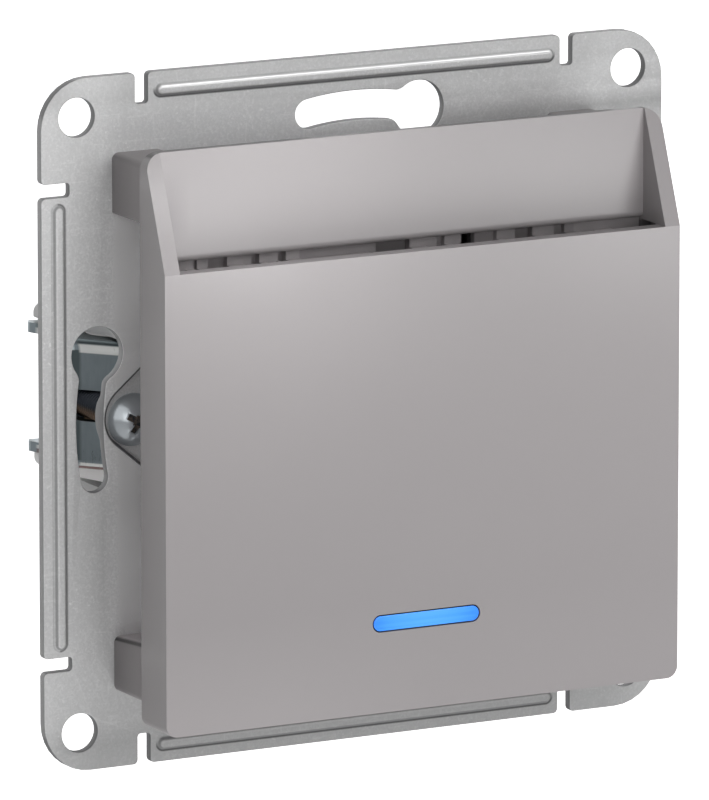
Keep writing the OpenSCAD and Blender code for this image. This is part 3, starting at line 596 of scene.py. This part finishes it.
def lathe(profile, steps, name):
    """Turns a profile of (radius, y) points about the Y axis. Its ends lie on the axis."""
    bm = bmesh.new()
    rings = []
    for r, y in profile:
        if r < 1e-6:
            rings.append([bm.verts.new((0, y, 0))])
        else:
            rings.append([bm.verts.new((r * math.cos(a), y, r * math.sin(a)))
                          for a in (2 * math.pi * i / steps for i in range(steps))])
    for a, b in zip(rings, rings[1:]):
        for i in range(steps):
            j = (i + 1) % steps
            corners = [a[i % len(a)], a[j % len(a)], b[j % len(b)], b[i % len(b)]]
            bm.faces.new(list(dict.fromkeys(corners)))
    return obj_from(bm, name)


def edge_of(loop):
    return list(zip(loop, loop[1:] + loop[:1]))


def fillet(corners, steps=6):
    """Rounds the corners of an outline, given as (x, z, radius)."""
    out = []
    count = len(corners)
    for i, (x, z, r) in enumerate(corners):
        here = Vector((x, z))
        if r <= 0:
            out.append((x, z))
            continue
        a = (Vector(corners[i - 1][:2]) - here).normalized()
        b = (Vector(corners[(i + 1) % count][:2]) - here).normalized()
        half = a.angle(b) / 2
        middle = here + (a + b).normalized() * (r / math.sin(half))
        start = here + a * (r / math.tan(half)) - middle
        turn = -math.copysign(math.pi - 2 * half, a.cross(b))
        for k in range(steps + 1):
            t = turn * k / steps
            out.append((middle.x + start.x * math.cos(t) - start.y * math.sin(t),
                        middle.y + start.x * math.sin(t) + start.y * math.cos(t)))
    return out


def rounded_box(x0, x1, z0, z1, r, steps=6):
    return fillet([(x1, z0, r), (x1, z1, r), (x0, z1, r), (x0, z0, r)], steps)


def grown(loop, reach):
    """A closed loop moved along its corner normals. Positive reach grows a loop that runs anticlockwise."""
    p = np.array(loop)
    edge = np.roll(p, -1, 0) - p
    edge /= np.linalg.norm(edge, axis=1)[:, None]
    normal = np.stack([edge[:, 1], -edge[:, 0]], 1)
    both = normal + np.roll(normal, 1, 0)
    both /= np.maximum((both * normal).sum(1), 0.35)[:, None]
    return [tuple(q) for q in p + both * reach]


def softened(loop, places, reach, rounds):
    """Rounds a loop off near some places."""
    p = np.array(loop)
    near = np.min([np.hypot(p[:, 0] - x, p[:, 1] - z) for x, z in places], 0)
    pull = np.clip((reach - near) / reach * 2, 0, 1)[:, None] * 0.5
    for _ in range(rounds):
        p = p * (1 - pull) + (np.roll(p, 1, 0) + np.roll(p, -1, 0)) / 2 * pull
    return [tuple(q) for q in p]


def smooth_step(t):
    t = np.clip(t, 0, 1)
    return t * t * (3 - 2 * t)


def inside(loop, p):
    """Which points lie in a loop."""
    x, z = p[:, 0], p[:, 1]
    hit = np.zeros(len(p), bool)
    for (ax, az), (bx, bz) in edge_of(loop):
        if az == bz:
            continue
        crosses = (az > z) != (bz > z)
        hit ^= crosses & (x < (bx - ax) * (z - az) / (bz - az) + ax)
    return hit


def distance(loop, p):
    """How far points lie from a loop."""
    best = np.full(len(p), 1e9)
    for a, b in edge_of(loop):
        a, b = np.array(a), np.array(b)
        d = b - a
        t = np.clip(((p - a) @ d) / (d @ d), 0, 1)
        best = np.minimum(best, np.hypot(*(p - a - t[:, None] * d).T))
    return best


# ---- Support plate ---------------------------------------------

PLATE_R = 5.2
OPENING, OPENING_R = 20.5, 0.8  # half width and corner radius of the middle opening
CORNER_X, CORNER_R, CLAW_HOLE_R = 31.5, 2.0, 1.6  # round holes in the corners and for the claw screws
SLIT_X, SLIT_W, SLIT_END = 24.25, 1.4, 32.35
KEY_R, KEY_HALF, KEY_HEAD_R = 30.2, 1.5, 2.85  # arc keyholes: radius, half width, radius of the round head
TAIL, HEAD = 10.3, 13.8  # their ends' angles from the middle of each side, in degrees
OUTER_END, INNER_END = 9.32, 9.09  # angles at which the arc's outer and inner side meet the head
BEAD_LONG, BEAD_W, BEAD_Z = 45.6, 1.4, 33.6
BEAD_FRONT, BEAD_BACK = 0.348, 0.33  # how far a pressed bead rises in front and behind
NOSE_R, LEAN, DISH_Z, DISH_DEEP = 3.3, math.radians(40), 0.42, 0.998  # dishes for the claw screws
SHEET_EDGE = 0.12  # rounding of the cut edges


def plate_outline():
    corners = []
    for c, s in ((1, 0), (0, 1), (-1, 0), (0, -1)):
        side = []
        for x in (-SLIT_X, SLIT_X):
            side += [(x - SLIT_W / 2, PLATE, 0.5), (x - SLIT_W / 2, SLIT_END, 0.35),
                     (x + SLIT_W / 2, SLIT_END, 0.35), (x + SLIT_W / 2, PLATE, 0.5)]
        side.append((PLATE, PLATE, PLATE_R))
        corners += [(x * c + z * s, z * c - x * s, r) for x, z, r in side]
    return fillet(corners, 8)[::-1]


def polar(r, degrees):
    """A point at a radius and an angle from the top."""
    return r * math.sin(math.radians(degrees)), r * math.cos(math.radians(degrees))


def keyhole():
    """Arc slot of the top side with its round head, run anticlockwise."""
    inner, outer = KEY_R - KEY_HALF, KEY_R + KEY_HALF
    hx, hz = polar(KEY_R, HEAD)
    tx, tz = polar(KEY_R, -TAIL)
    a, b = polar(outer, OUTER_END), polar(inner, INNER_END)
    start = math.degrees(math.atan2(b[1] - hz, b[0] - hx))
    end = math.degrees(math.atan2(a[1] - hz, a[0] - hx))
    loop = arc(hx, hz, KEY_HEAD_R, start, end, 60)
    loop += [polar(outer, OUTER_END - (OUTER_END + TAIL) * i / 60) for i in range(1, 60)]
    loop += arc(tx, tz, KEY_HALF, 90 + TAIL, 270 + TAIL, 24)
    loop += [polar(inner, -TAIL + (INNER_END + TAIL) * i / 60) for i in range(1, 60)]
    return softened(loop, (a, b), 0.4, 10)


def beads(reach=0):
    """Outlines of the four pressed beads, grown by a reach."""
    return quarter_turns(moved(stadium(BEAD_LONG + 2 * reach, BEAD_W + 2 * reach), 0, BEAD_Z))


def dish_depth(p):
    """Distance inside the outline of the dish that is sunk round a claw screw."""
    dx, dz = np.abs(p[:, 0]) - CLAW_X, np.abs(p[:, 1] - DISH_Z)
    nose = np.abs(np.arctan2(dz, dx)) < math.radians(50)
    return np.where(nose, NOSE_R - np.hypot(dx, dz), NOSE_R - (dx * math.sin(LEAN) + dz * math.cos(LEAN)))


def dish_lines(reach):
    """Open lines at some distance outside the dish's outline, for the sheet's mesh."""
    r, far = NOSE_R + reach, 7.5
    ends = [(r * math.sin(LEAN) - far * math.cos(LEAN), side * (r * math.cos(LEAN) + far * math.sin(LEAN)))
            for side in (-1, 1)]
    out = [ends[0]] + arc(0, 0, r, -50, 50, 20) + [ends[1]]
    return [[(side * (CLAW_X + x), z + DISH_Z) for x, z in out] for side in (-1, 1)]


def sheet_lines(outline, holes):
    """Points and edges that the sheet's mesh follows: cut edges, bead flanks and dish walls."""
    points, edges = [], []

    def run(line, closed=True):
        first, count = len(points), len(line)
        points.extend(Vector(q) for q in line)
        edges.extend((first + i, first + (i + 1) % count) for i in range(count if closed else count - 1))

    for loop, way in [(outline, -1)] + [(hole, 1) for hole in holes]:
        run(loop)
        for reach in (0.03, 0.07, SHEET_EDGE):
            run(grown(loop, way * reach))
    for reach in (0.2, 0.1, 0.03, -0.04, -0.1, -0.18, -0.26, -0.33, -0.42, -0.52, -0.6):
        for bead in beads(reach):
            run(bead)
    for reach in (1.05, 0.85, 0.65, 0.5, 0.37, 0.33, 0.25, 0.16, 0.11, 0.06, 0.0, -0.06, -0.12, -0.17, -0.3):
        for line in dish_lines(reach):
            run(line, False)
    return points, edges


def bead_relief(p):
    """How far the beads raise points, how much painted shade their feet get and how much painted highlight
    their upper flanks get, all 0 to 1.
    """
    raised, foot, flank_highlight = np.zeros(len(p)), np.zeros(len(p)), np.zeros(len(p))
    for bead in beads():
        sd = distance(bead, p) * np.where(inside(bead, p), 1, -1)
        raised = np.maximum(raised, smooth_step((sd + 0.02) / 0.42))
        away = p - np.array(bead).mean(0)
        lies = np.ptp(np.array(bead)[:, 0]) > 5
        shaded = np.clip(0.5 - away[:, 1] / 0.7, 0, 1) if lies else 0.5 * (away[:, 0] > 0) + 0.3
        foot = np.maximum(foot, np.clip(1.5 - np.abs(sd + 0.04) / 0.1, 0, 1) * shaded)
        if lies:
            upper = np.clip((away[:, 1] + 0.05) / 0.2, 0, 1) * (1.0 if bead[0][1] > 0 else 0.15)
            ends = np.clip((BEAD_LONG / 2 - 0.2 - np.abs(p[:, 0])) / 0.5, 0, 1)
            flank_highlight = np.maximum(flank_highlight, np.clip(1.6 - np.abs(sd - 0.33) / 0.17, 0, 1) * upper * ends)
    return raised, foot, flank_highlight


def sheet_mesh(p, faces, front, back, marks):
    """Front and back faces at their own depths, closed along their open edges, with marks on the front."""
    bm = bmesh.new()
    for name in marks:
        bm.verts.layers.float.new(name)
    tops = [bm.verts.new((x, y, z)) for (x, z), y in zip(p, front)]
    for name, values in marks.items():
        layer = bm.verts.layers.float[name]
        for vert, value in zip(tops, values):
            vert[layer] = value
    bases = [bm.verts.new((x, y, z)) for (x, z), y in zip(p, back)]
    open_edges = {}
    for f in faces:
        bm.faces.new([tops[i] for i in f])
        bm.faces.new([bases[i] for i in f][::-1])
        for i, j in edge_of(list(f)):
            if open_edges.pop((j, i), None) is None:
                open_edges[(i, j)] = True
    for i, j in open_edges:
        bm.faces.new((tops[j], tops[i], bases[i], bases[j]))
    bmesh.ops.delete(bm, geom=[v for v in bm.verts if not v.link_faces], context="VERTS")
    return obj_from(bm, "support_plate")


def mounting_plate():
    outline = plate_outline()
    holes = quarter_turns(keyhole()) + [rounded_box(-OPENING, OPENING, -OPENING, OPENING, OPENING_R)]
    holes += [ring_loop(x, z, CORNER_R) for x in (-CORNER_X, CORNER_X) for z in (-CORNER_X, CORNER_X)]
    holes += [ring_loop(x, 0, CLAW_HOLE_R, 36) for x in (-CLAW_X, CLAW_X)]
    verts, _, faces, *_ = delaunay_2d_cdt(*sheet_lines(outline, holes), [], 0, 1e-5)
    p = np.array([tuple(v) for v in verts])
    middle = np.array([p[list(f)].mean(0) for f in faces])
    keep = inside(outline, middle)
    edge_d = distance(outline, p)
    for hole in holes:
        keep &= ~inside(hole, middle)
        edge_d = np.minimum(edge_d, distance(hole, p))
    lip = np.clip(SHEET_EDGE - edge_d, 0, SHEET_EDGE)
    lip = SHEET_EDGE - np.sqrt(SHEET_EDGE ** 2 - lip ** 2)
    raised, foot, flank_highlight = bead_relief(p)
    sunk = dish_depth(p)
    wall = smooth_step((sunk + 0.14) / 0.3)
    front = -1 - BEAD_FRONT * raised + 0.02 * foot + DISH_DEEP * wall + lip
    back = -BEAD_BACK * raised + DISH_DEEP * smooth_step((sunk + 1.05) / 0.8) - lip
    # marks for painted shade along bead feet and dish walls, painted highlight on bead flanks and painted shade
    # on the dish floors
    crease_shade = np.maximum(foot, np.clip((0.21 - np.abs(sunk + 0.14)) / 0.08, 0, 1))
    floor = np.clip((sunk - 0.1) / 0.1, 0, 1)
    faces = [f for f, kept in zip(faces, keep) if kept]
    return sheet_mesh(p, faces, front, back, {"crease_shade": crease_shade, "flank_highlight": flank_highlight, "dish": floor})


# ---- Front cover and lens --------------------------------------

COVER_HALF, POCKET = 29.25, 27.55  # half widths of the cover and of the card pocket
FRONT, INNER, RIM = -15.92, -14.32, -10.4  # Y of the cover's front, of its inner face and of its rim
LIP, CHEEK = 17.72, -11.47  # Z of the slot's lip, Y of the cheeks' upper ends
PANEL_Y, PANEL_Z, CURL = -11.3, 17.92, 0.75  # panel behind the card: front, lower edge and its rounding


def front_cover():
    half, past = COVER_HALF, 1.0
    shell = prism([(FRONT, LIP), (FRONT, -half - past), (RIM, -half - past), (RIM, -POCKET), (INNER, -POCKET),
                   (INNER, LIP)], -half - past, half + past, "X", "cover")
    cheek = [(FRONT, -half - past), (RIM, -half - past), (RIM, half + past), (CHEEK, half + past),
             (CHEEK, half), (FRONT, LIP)]
    curl = moved(arc(0, 0, CURL, 270, 180, 6)[1:], PANEL_Y + CURL, PANEL_Z + CURL)
    panel = [(RIM, half + past), (RIM, PANEL_Z)] + curl + [(PANEL_Y, half + past)]
    parts = [prism(cheek, -half - past, -POCKET, "X"), prism(cheek, POCKET, half + past, "X"),
             prism(panel, -half - past, half + past, "X")]
    # Guide ribs and snap hooks
    for x in (-24, -14, 14, 24):
        parts.append(block((x - 0.6, INNER - 0.2, -17.5), (x + 0.6, -13.42, 14.22)))
    hook = [(25.6, -12.17), (25.6, -8.7), (24.5, -8.7), (24.5, -8.3), (25.2, -7.6), (26.8, -7.6), (26.8, -10.5),
            (28.4, -10.5), (28.4, -12.17)]
    for side in (-1, 1):
        for z in (-12, 12):
            parts.append(prism([(side * x, y) for x, y in hook], z - 3, z + 3, "Z"))
    combine(shell, parts, "UNION")
    rim = fillet([(half, -half, 1.25), (half, half, 1.9), (-half, half, 1.9), (-half, -half, 1.25)], 10)
    combine(shell, [prism(rim, FRONT - 2, -7, name="rim")], "INTERSECT")
    # The lens's window and the recesses at the slot's ends
    window = prism(moved(stadium(12.3, 1.82, 20), LENS_X, LENS_Z), FRONT - 1, INNER + 0.3)
    ends = [block((x - 0.85, -13.9, 16.6), (x + 0.85, -10.9, 17.75)) for x in (27.85, -27.85)]
    combine(shell, [window] + ends)
    plain(shell)
    return round_edges(shell, 0.24, 3, 28)


def status_lens():
    body = prism(moved(stadium(12.0, 1.54, 20), LENS_X, LENS_Z), LENS_FRONT, -14.12, name="lens")
    flange = prism(moved(stadium(13.3, 2.8, 20), 0, -20), -14.31, -13.92)
    combine(body, [flange], "UNION")
    plain(body)
    return round_edges(body, 0.1, 3, 40)


# ---- Screws ----------------------------------------------------

PITCH = 0.5  # of every thread
SQUARE = ((-1, -1), (1, -1), (1, 1), (-1, 1))


def thread(crest, root, y0, y1, steps, rows):
    """Screw shank with a helical thread that runs out at both ends, in rows of points, so many to a turn."""
    bm = bmesh.new()
    count = round((y1 - y0) / PITCH * rows)
    grid = []
    for k in range(count + 1):
        y = y0 + (y1 - y0) * k / count
        fade = min(1, (y - y0) / (0.8 * PITCH), (y1 - y) / (1.6 * PITCH))
        ring = []
        for i in range(steps):
            phase = ((y / PITCH) - i / steps) % 1
            lift = min(1, max(0, 1.35 * (1 - abs(2 * phase - 1)) - 0.05)) * max(0, fade)
            r = root + (crest - root) * lift
            a = 2 * math.pi * i / steps
            ring.append(bm.verts.new((r * math.cos(a), y, r * math.sin(a))))
        grid.append(ring)
    for a, b in zip(grid, grid[1:]):
        for i in range(steps):
            j = (i + 1) % steps
            bm.faces.new((a[i], a[j], b[j], b[i]))
    for ring in (grid[0], grid[-1]):
        bm.faces.new(ring)
    return obj_from(bm, "thread")


def cross_tool(reach, y_top, turn):
    """Tapered cross drive, with the short diagonal notches between its arms."""
    width, depth = reach * 0.4, reach * 0.7
    arm, notch = (reach, width, depth), (reach * 0.62, width * 0.4, depth * 0.5)
    tools = []
    for angle, (long, wide, deep) in ((0, arm), (90, arm), (45, notch), (135, notch)):
        bm = bmesh.new()
        top = [bm.verts.new((x * long, y_top - 1, z * wide / 2)) for x, z in SQUARE]
        low = [bm.verts.new((x * long * 0.45, y_top + deep, z * wide * 0.4)) for x, z in SQUARE]
        bm.faces.new(top)
        bm.faces.new(low[::-1])
        for i in range(4):
            j = (i + 1) % 4
            bm.faces.new((top[i], low[i], low[j], top[j]))
        spin = Matrix.Rotation(math.radians(angle + turn), 3, "Y")
        bmesh.ops.rotate(bm, verts=bm.verts, cent=(0, 0, 0), matrix=spin)
        tools.append(obj_from(bm, "drive"))
    return tools


def pan_head(r, crown, drive, turn):
    """Domed head with its flat underside at Y = 0 and its crown towards the viewer."""
    rim = 0.16 * crown / HEAD_CROWN
    top = r - 0.12
    side = [(r - 0.08, 0), (r, -0.08), (r, -rim), (r - 0.03, -rim - 0.1), (top, -rim - 0.2)]
    dome = [(top * t, -rim - 0.2 - (crown - rim - 0.2) * (1 - t ** 2.3)) for t in
            (0.95, 0.88, 0.8, 0.7, 0.6, 0.5, 0.4, 0.3, 0.2, 0.1)]
    head = lathe([(0, 0.2), (1.2, 0.2), (1.2, 0), *side, *dome, (0, -crown)], 64, "head")
    combine(head, cross_tool(drive, -crown, turn))
    plain(head, 0.1)
    return round_edges(head, 0.05, 2, 35)


def merged(*objs):
    bm = bmesh.new()
    for obj in objs:
        bm.from_mesh(obj.data)
    for obj in objs[1:]:
        bpy.data.objects.remove(obj)
    bm.to_mesh(objs[0].data)
    bm.free()
    return objs[0]


def moved_to(obj, x=0, y=0, z=0, matrix=None):
    if matrix:
        obj.data.transform(matrix)
    obj.data.transform(Matrix.Translation((x, y, z)))
    return obj


def claw_screw(side):
    screw = merged(pan_head(2.72, HEAD_CROWN, 1.9, 30), thread(1.5, 1.12, 0.15, 19, 20, 6))
    return moved_to(screw, side * CLAW_X)


ASSEMBLY = 15.8  # assembly screws, from the middle both ways


def assembly_screws():
    made = []
    for x in (-ASSEMBLY, ASSEMBLY):
        for z in (-ASSEMBLY, ASSEMBLY):
            screw = merged(pan_head(2.2, 1.45, 1.25, 12 + x + 2 * z), thread(1.1, 0.82, 0.1, 16.4, 16, 5))
            made.append(moved_to(screw, x, 10.4, z, Matrix.Rotation(math.pi, 4, "Z")))
    return merged(*made)


TERMINAL_STEP, TERMINAL_Y, TERMINAL_Z = 8.6, 17, 19.5  # terminal screws: spacing and place


def terminal_screw(k):
    head = lathe([(0, 0.2), (1.2, 0.2), (1.2, 0), (2.42, 0), (2.5, -0.1), (2.5, -1.2), (2.3, -1.6), (1.6, -1.8),
                  (0, -1.85)], 48, "head")
    combine(head, [block((-3, -3, -0.4), (3, -0.85, 0.4))])
    plain(head, 0.1)
    round_edges(head, 0.06, 2, 35)
    screw = merged(head, thread(1.5, 1.15, 0.1, 5.97, 20, 5))
    screw.data.transform(Matrix.Rotation(math.radians(35 * k), 4, "Y"))
    upright = Matrix.Rotation(-math.pi / 2, 4, "X")
    return moved_to(screw, (k - 2) * TERMINAL_STEP, TERMINAL_Y, TERMINAL_Z, upright)


# ---- Claws -----------------------------------------------------

PIVOT_X, PIVOT_Y, WEB = 21.0, 3.0, math.radians(40.3)  # the hinge pin, and the web's lean from the Y axis
STRIP = 1.05  # thickness
CLAW_OUTER, BEND = 6.72, 1.08  # half width over the flanges, and the bends' outer radius
CLAW_INNER = CLAW_OUTER - STRIP
# Side of the claw with its teeth, as distance from the web's middle, distance from the pin, and corner radius
CLAW_SIDE = [(-STRIP / 2 - 0.01, 0, 0), (-STRIP / 2 - 0.01, 10.6, 0.5), (0.8, 11.8, 1.5), (3.4, 13.6, 0.3),
             (4.1, 13.3, 0.2), (5.1, 14.8, 0.3), (5.6, 14.7, 0.2), (6.3, 16.6, 0.2), (7.2, 16.95, 0.15),
             (9.3, 14.2, 0.6), (2.4, 8, 2), (1.6, 0, 0)]


def claw(side):
    t, outer, inner = STRIP, CLAW_OUTER, CLAW_INNER
    cut = fillet([(-t / 2, -outer, BEND), (12, -outer, 0), (12, -inner, 0), (t / 2, -inner, BEND - t),
                  (t / 2, inner, BEND - t), (12, inner, 0), (12, outer, 0), (-t / 2, outer, BEND)], 7)
    channel = prism(cut, -3, 19, name="claw")
    combine(channel, [prism(fillet(CLAW_SIDE, 4), -7, 7, "Z")], "INTERSECT")
    slot = [(v, z) for z, v in rounded_box(-1.62, 1.62, 2.3, 9.3, 1.6, 8)]
    combine(channel, [prism(slot, -2, 2, "X"), block((-2, -4, -inner + 0.3), (1.0, 1.2, inner - 0.3))])
    eye = arc(0, 0, 1.6, 180, 360, 15) + [(1.2, 1.0), (-1.2, 1.0)]
    for sign in (-1, 1):
        disc = moved_to(prism(eye, 0, t, "Z"), z=inner if sign > 0 else -outer)
        pin = lathe([(0, 0), (0.95, 0), (1.1, 0.15), (1.1, 1.43), (0.95, 1.58), (0, 1.58)], 32, "trunnion")
        moved_to(pin, z=sign * 6.67, matrix=Matrix.Rotation(math.radians(90 * sign), 4, "X"))
        combine(channel, [disc, pin], "UNION")
    plain(channel, 0.2)
    round_edges(channel, 0.09, 2, 40)
    channel.data.transform(Matrix.Translation((-PIVOT_X, PIVOT_Y, 0)) @ Matrix.Rotation(WEB, 4, "Z"))
    if side > 0:
        channel.data.transform(Matrix.Scale(-1, 4, (1, 0, 0)))
        channel.data.flip_normals()
    return channel


# ---- Every other piece: the CAD shape with rounded edges -------

# Windows behind the slot, as left edge, right edge and depth into the carrier's flange
SLOT_WINDOWS = [(-23.3, -22.9, 0.5), (-21.7, -19.5, 0.8), (-16.8, -15.9, 0.9), (-13.8, -12.9, 0.9),
                (-2.7, 1.1, 0.9), (4.2, 5.1, 0.7), (7.0, 8.5, 3.0), (8.5, 11.1, 0.7), (13.2, 15.2, 0.9),
                (17.7, 18.9, 0.6)]

# node: material, edge rounding, and the body if it isn't the base
WAYS = {
    "card_carrier": ("carrier", 0.15),
    "rear_housing": ("casing", 0.25),
    "housing_lid": ("lid", 0.15),
    "light_pipe": ("clear", 0.08),
    "led_board": ("laminate", 0.03),
    "status_leds": ("led", 0.06),
    "led_leads": ("tin", 0.05),
    "circuit_board": ("laminate", 0.03),
    "dropper_capacitor": ("capacitor", 0.6),
    "rectifier": ("black", 0.12),
    "board_resistors": ("resistor", 0.12),
    "common_bar": ("copper", 0.07),
    "switched_bar": ("copper", 0.07),
    "neutral_bar": ("copper", 0.07),
    "fixed_contact": ("silver", 0.1),
    "contact_blade": ("bronze", 0.04, "contact_arm"),
    "moving_contact": ("silver", 0.1, "contact_arm"),
    "blade_pin": ("spring", 0.1),
    "contact_spring": ("spring", 0.03),
    "card_lever": ("lever", 0.2, "lever"),
    "lever_pin": ("spring", 0.1),
    "lever_spring": ("spring", 0.03),
    "switch_plunger": ("lever", 0.12, "plunger"),
}

# Coil springs that shorten as the plunger goes in: Y of the fixed end, and the share of the length they keep
SPRINGS = {"contact_spring": (9.33, 0.54), "lever_spring": (-0.98, 0.66)}


def taller_feet(x, y, z):
    """How far the carrier's feet differ: the upper ones reach lower, and the lower ones rise to the cover."""
    if abs(x) < 21.8 or not -8.9 < y < -0.9 or not 21.85 < abs(z) < 22.61:
        return 0
    return 21.35 + (z - 21.9) * 0.4 - z if z > 0 else -0.08 * (y + 1)


def rib_shapes():
    """Slanted fronts cut from the guard ribs beside the claws, and the rounded ears at their far ends."""
    slants, ears = [], []
    front = [(23.5, -1), (23.5, 9), (26.2, 17), (28, 17), (28, -1)]
    ear = fillet([(22.6, 6.98, 0), (25.95, 6.98, 0.25), (25.95, 8.5, 0.95), (22.6, 8.5, 0)])
    for x in (-1, 1):
        for z in (-1, 1):
            low, high = sorted((z * 6.6, z * 8.8))
            slants.append(prism([(x * a, y) for a, y in front], low, high, "Z"))
            ears.append(prism([(x * a, z * b) for a, b in ear], 17.2, 20.45))
    return slants, ears


def refined(node, material, width, body="base"):
    """A copy of a CAD node's mesh with rounded edges, which stands for the node."""
    cut, added = SHAPES.get(node, ((), ()))
    mesh = nodes[node].data.copy()
    mesh.transform(Matrix.Scale(1 / MM, 4))
    if node == "card_carrier":
        for vert in mesh.vertices:
            vert.co.z += taller_feet(*vert.co)
    obj = bpy.data.objects.new(node + "_piece", mesh)
    scene.collection.objects.link(obj)
    plain(obj, 0.5)
    if cut:
        combine(obj, cut)
    if added:
        combine(obj, added, "UNION")
    if cut or added:
        plain(obj, 0.5)
    round_edges(obj, width, 2, 35)
    return place(obj, material, node, body)


# ---- All pieces in their places --------------------------------

place(mounting_plate(), "zinc", "mounting_plate", sharp=60)
cover = place(front_cover(), "cover", "front_cover")
for edge in cover.data.edges:
    ends = [cover.data.vertices[i].co / MM for i in edge.vertices]
    if all(abs(v.z - LIP) < 0.03 and v.y < FRONT + 0.03 for v in ends):
        edge.use_edge_sharp = True
place(status_lens(), "lens", "status_lens")
for name, side in (("left", -1), ("right", 1)):
    place(claw_screw(side), "head", f"claw_screw_{name}", f"claw_screw_{name}", thread_from=0.1)
    place(claw(side), "claw", f"claw_{name}", f"claw_{name}")

windows = [block((left, -13, 15.9), (right, -10.4 + deep, 17.95)) for left, right, deep in SLOT_WINDOWS]
SHAPES = {"card_carrier": (windows, ()), "rear_housing": rib_shapes()}  # node: what is cut away and added
for node, way in WAYS.items():
    piece = refined(node, *way)
    if node in SPRINGS:
        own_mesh(piece)
for k in (1, 2, 3):
    refined(f"terminal_cage_{k}", "cage", 0.12, f"terminal_cage_{k}")
for name in ("left", "right"):
    refined(f"claw_nut_{name}", "brass", 0.12, f"claw_nut_{name}")
place(assembly_screws(), "screw", "assembly_screws")
for k in (1, 2, 3):
    place(terminal_screw(k), "screw", f"terminal_screw_{k}", f"terminal_screw_{k}")


# ---- Floor, backdrop, light and camera -------------------------

AZIMUTH, ELEVATION = math.radians(27.85), math.radians(11.56)


def staged_plane(name, size, spot, turn, glow):
    bpy.ops.mesh.primitive_plane_add(size=size, location=spot, rotation=turn)
    obj = bpy.context.object
    obj.name = name
    s = Shader(name, 0.9)
    s.bsdf.inputs["Base Color"].default_value = (0.8, 0.8, 0.8, 1)
    s.bsdf.inputs["Emission Color"].default_value = (1, 1, 1, 1)
    s.bsdf.inputs["Emission Strength"].default_value = glow
    obj.data.materials.append(s.mat)


staged_plane("floor", 30, (0, 0, -0.85), (0, 0, 0), 0.05)
staged_plane("backdrop", 12, (0.9, 2.2, 0), (math.radians(90), 0, -AZIMUTH), 1.05)

world = bpy.data.worlds.new("studio")
world.use_nodes = True
world.node_tree.nodes["Background"].inputs["Color"].default_value = (1, 1, 1, 1)
world.node_tree.nodes["Background"].inputs["Strength"].default_value = 0.15
scene.world = world

# name: place, aim and size across and up (all in metres), power in watts
LIGHTS = {
    "front": ((-0.593, -1.128, 0.259), (0, 0, 0), 0.8, 0.8, 1.6),
    "centre": ((0, -0.995, 0.0995), (0, 0, 0), 0.6, 0.6, 1.8),
    "low": ((0, -0.64, -0.48), (0, 0, 0), 0.5, 0.5, 1.78),
    "right_up": ((0.279, -0.418, 0.488), (0, 0, 0), 0.3, 0.3, 0.6),
    "left_back": ((-0.7, 0.4, 0.1), (0, 0, 0), 0.5, 0.6, 0.43),
    "mirror_left": ((-0.43, -0.3, 0.25), (0, 0, 0), 0.6, 0.6, 0.85),
    "mirror_top": ((0.25, -0.25, 0.43), (0, 0, 0), 0.35, 0.35, 0.45),
    "strip": ((0.0487, -0.1459, 0.0049), (-0.02, -0.016, 0.03), 0.08, 0.02, 0.0206),
    "strip_near": ((0.0458, -0.1026, 0.012), (0, -0.016, 0.03), 0.09, 0.012, 0.0049),
    "lip_left": ((-0.0205, -0.0385, 0.016), (-0.0325, -0.016, 0.0215), 0.03, 0.008, 0.0013),
    "lip_right": ((0.0499, -0.0593, 0.01), (0.027, -0.016, 0.02), 0.02, 0.012, 0.0025),
    "lip_above": ((-0.0165, -0.028, 0.034), (-0.0165, -0.016, 0.012), 0.025, 0.006, 0.0019),
}
for name, (spot, aimed, across, up, power) in LIGHTS.items():
    data = bpy.data.lights.new(name, "AREA")
    data.shape = "RECTANGLE"
    data.size, data.size_y, data.energy = across, up, power
    lamp = bpy.data.objects.new(name, data)
    lamp.location = spot
    lamp.visible_camera = False
    lamp.visible_diffuse = not name.startswith("mirror")
    lamp.rotation_euler = (Vector(spot) - Vector(aimed)).to_track_quat("Z", "Y").to_euler()
    scene.collection.objects.link(lamp)

# Where the camera looks and how far away it is, in metres
AIM = (0.00035, 0, -0.000452)
AWAY = 1.085
data = bpy.data.cameras.new("camera")
data.lens = 479.9
data.sensor_width = 36
data.clip_end = 30
camera = bpy.data.objects.new("camera", data)
back_way = Vector((-math.sin(AZIMUTH) * math.cos(ELEVATION), -math.cos(AZIMUTH) * math.cos(ELEVATION),
                   math.sin(ELEVATION)))
camera.location = Vector(AIM) + back_way * AWAY
camera.rotation_euler = back_way.to_track_quat("Z", "Y").to_euler()
scene.collection.objects.link(camera)
scene.camera = camera
scene.view_settings.view_transform = "Standard"

bpy.context.view_layer.update()
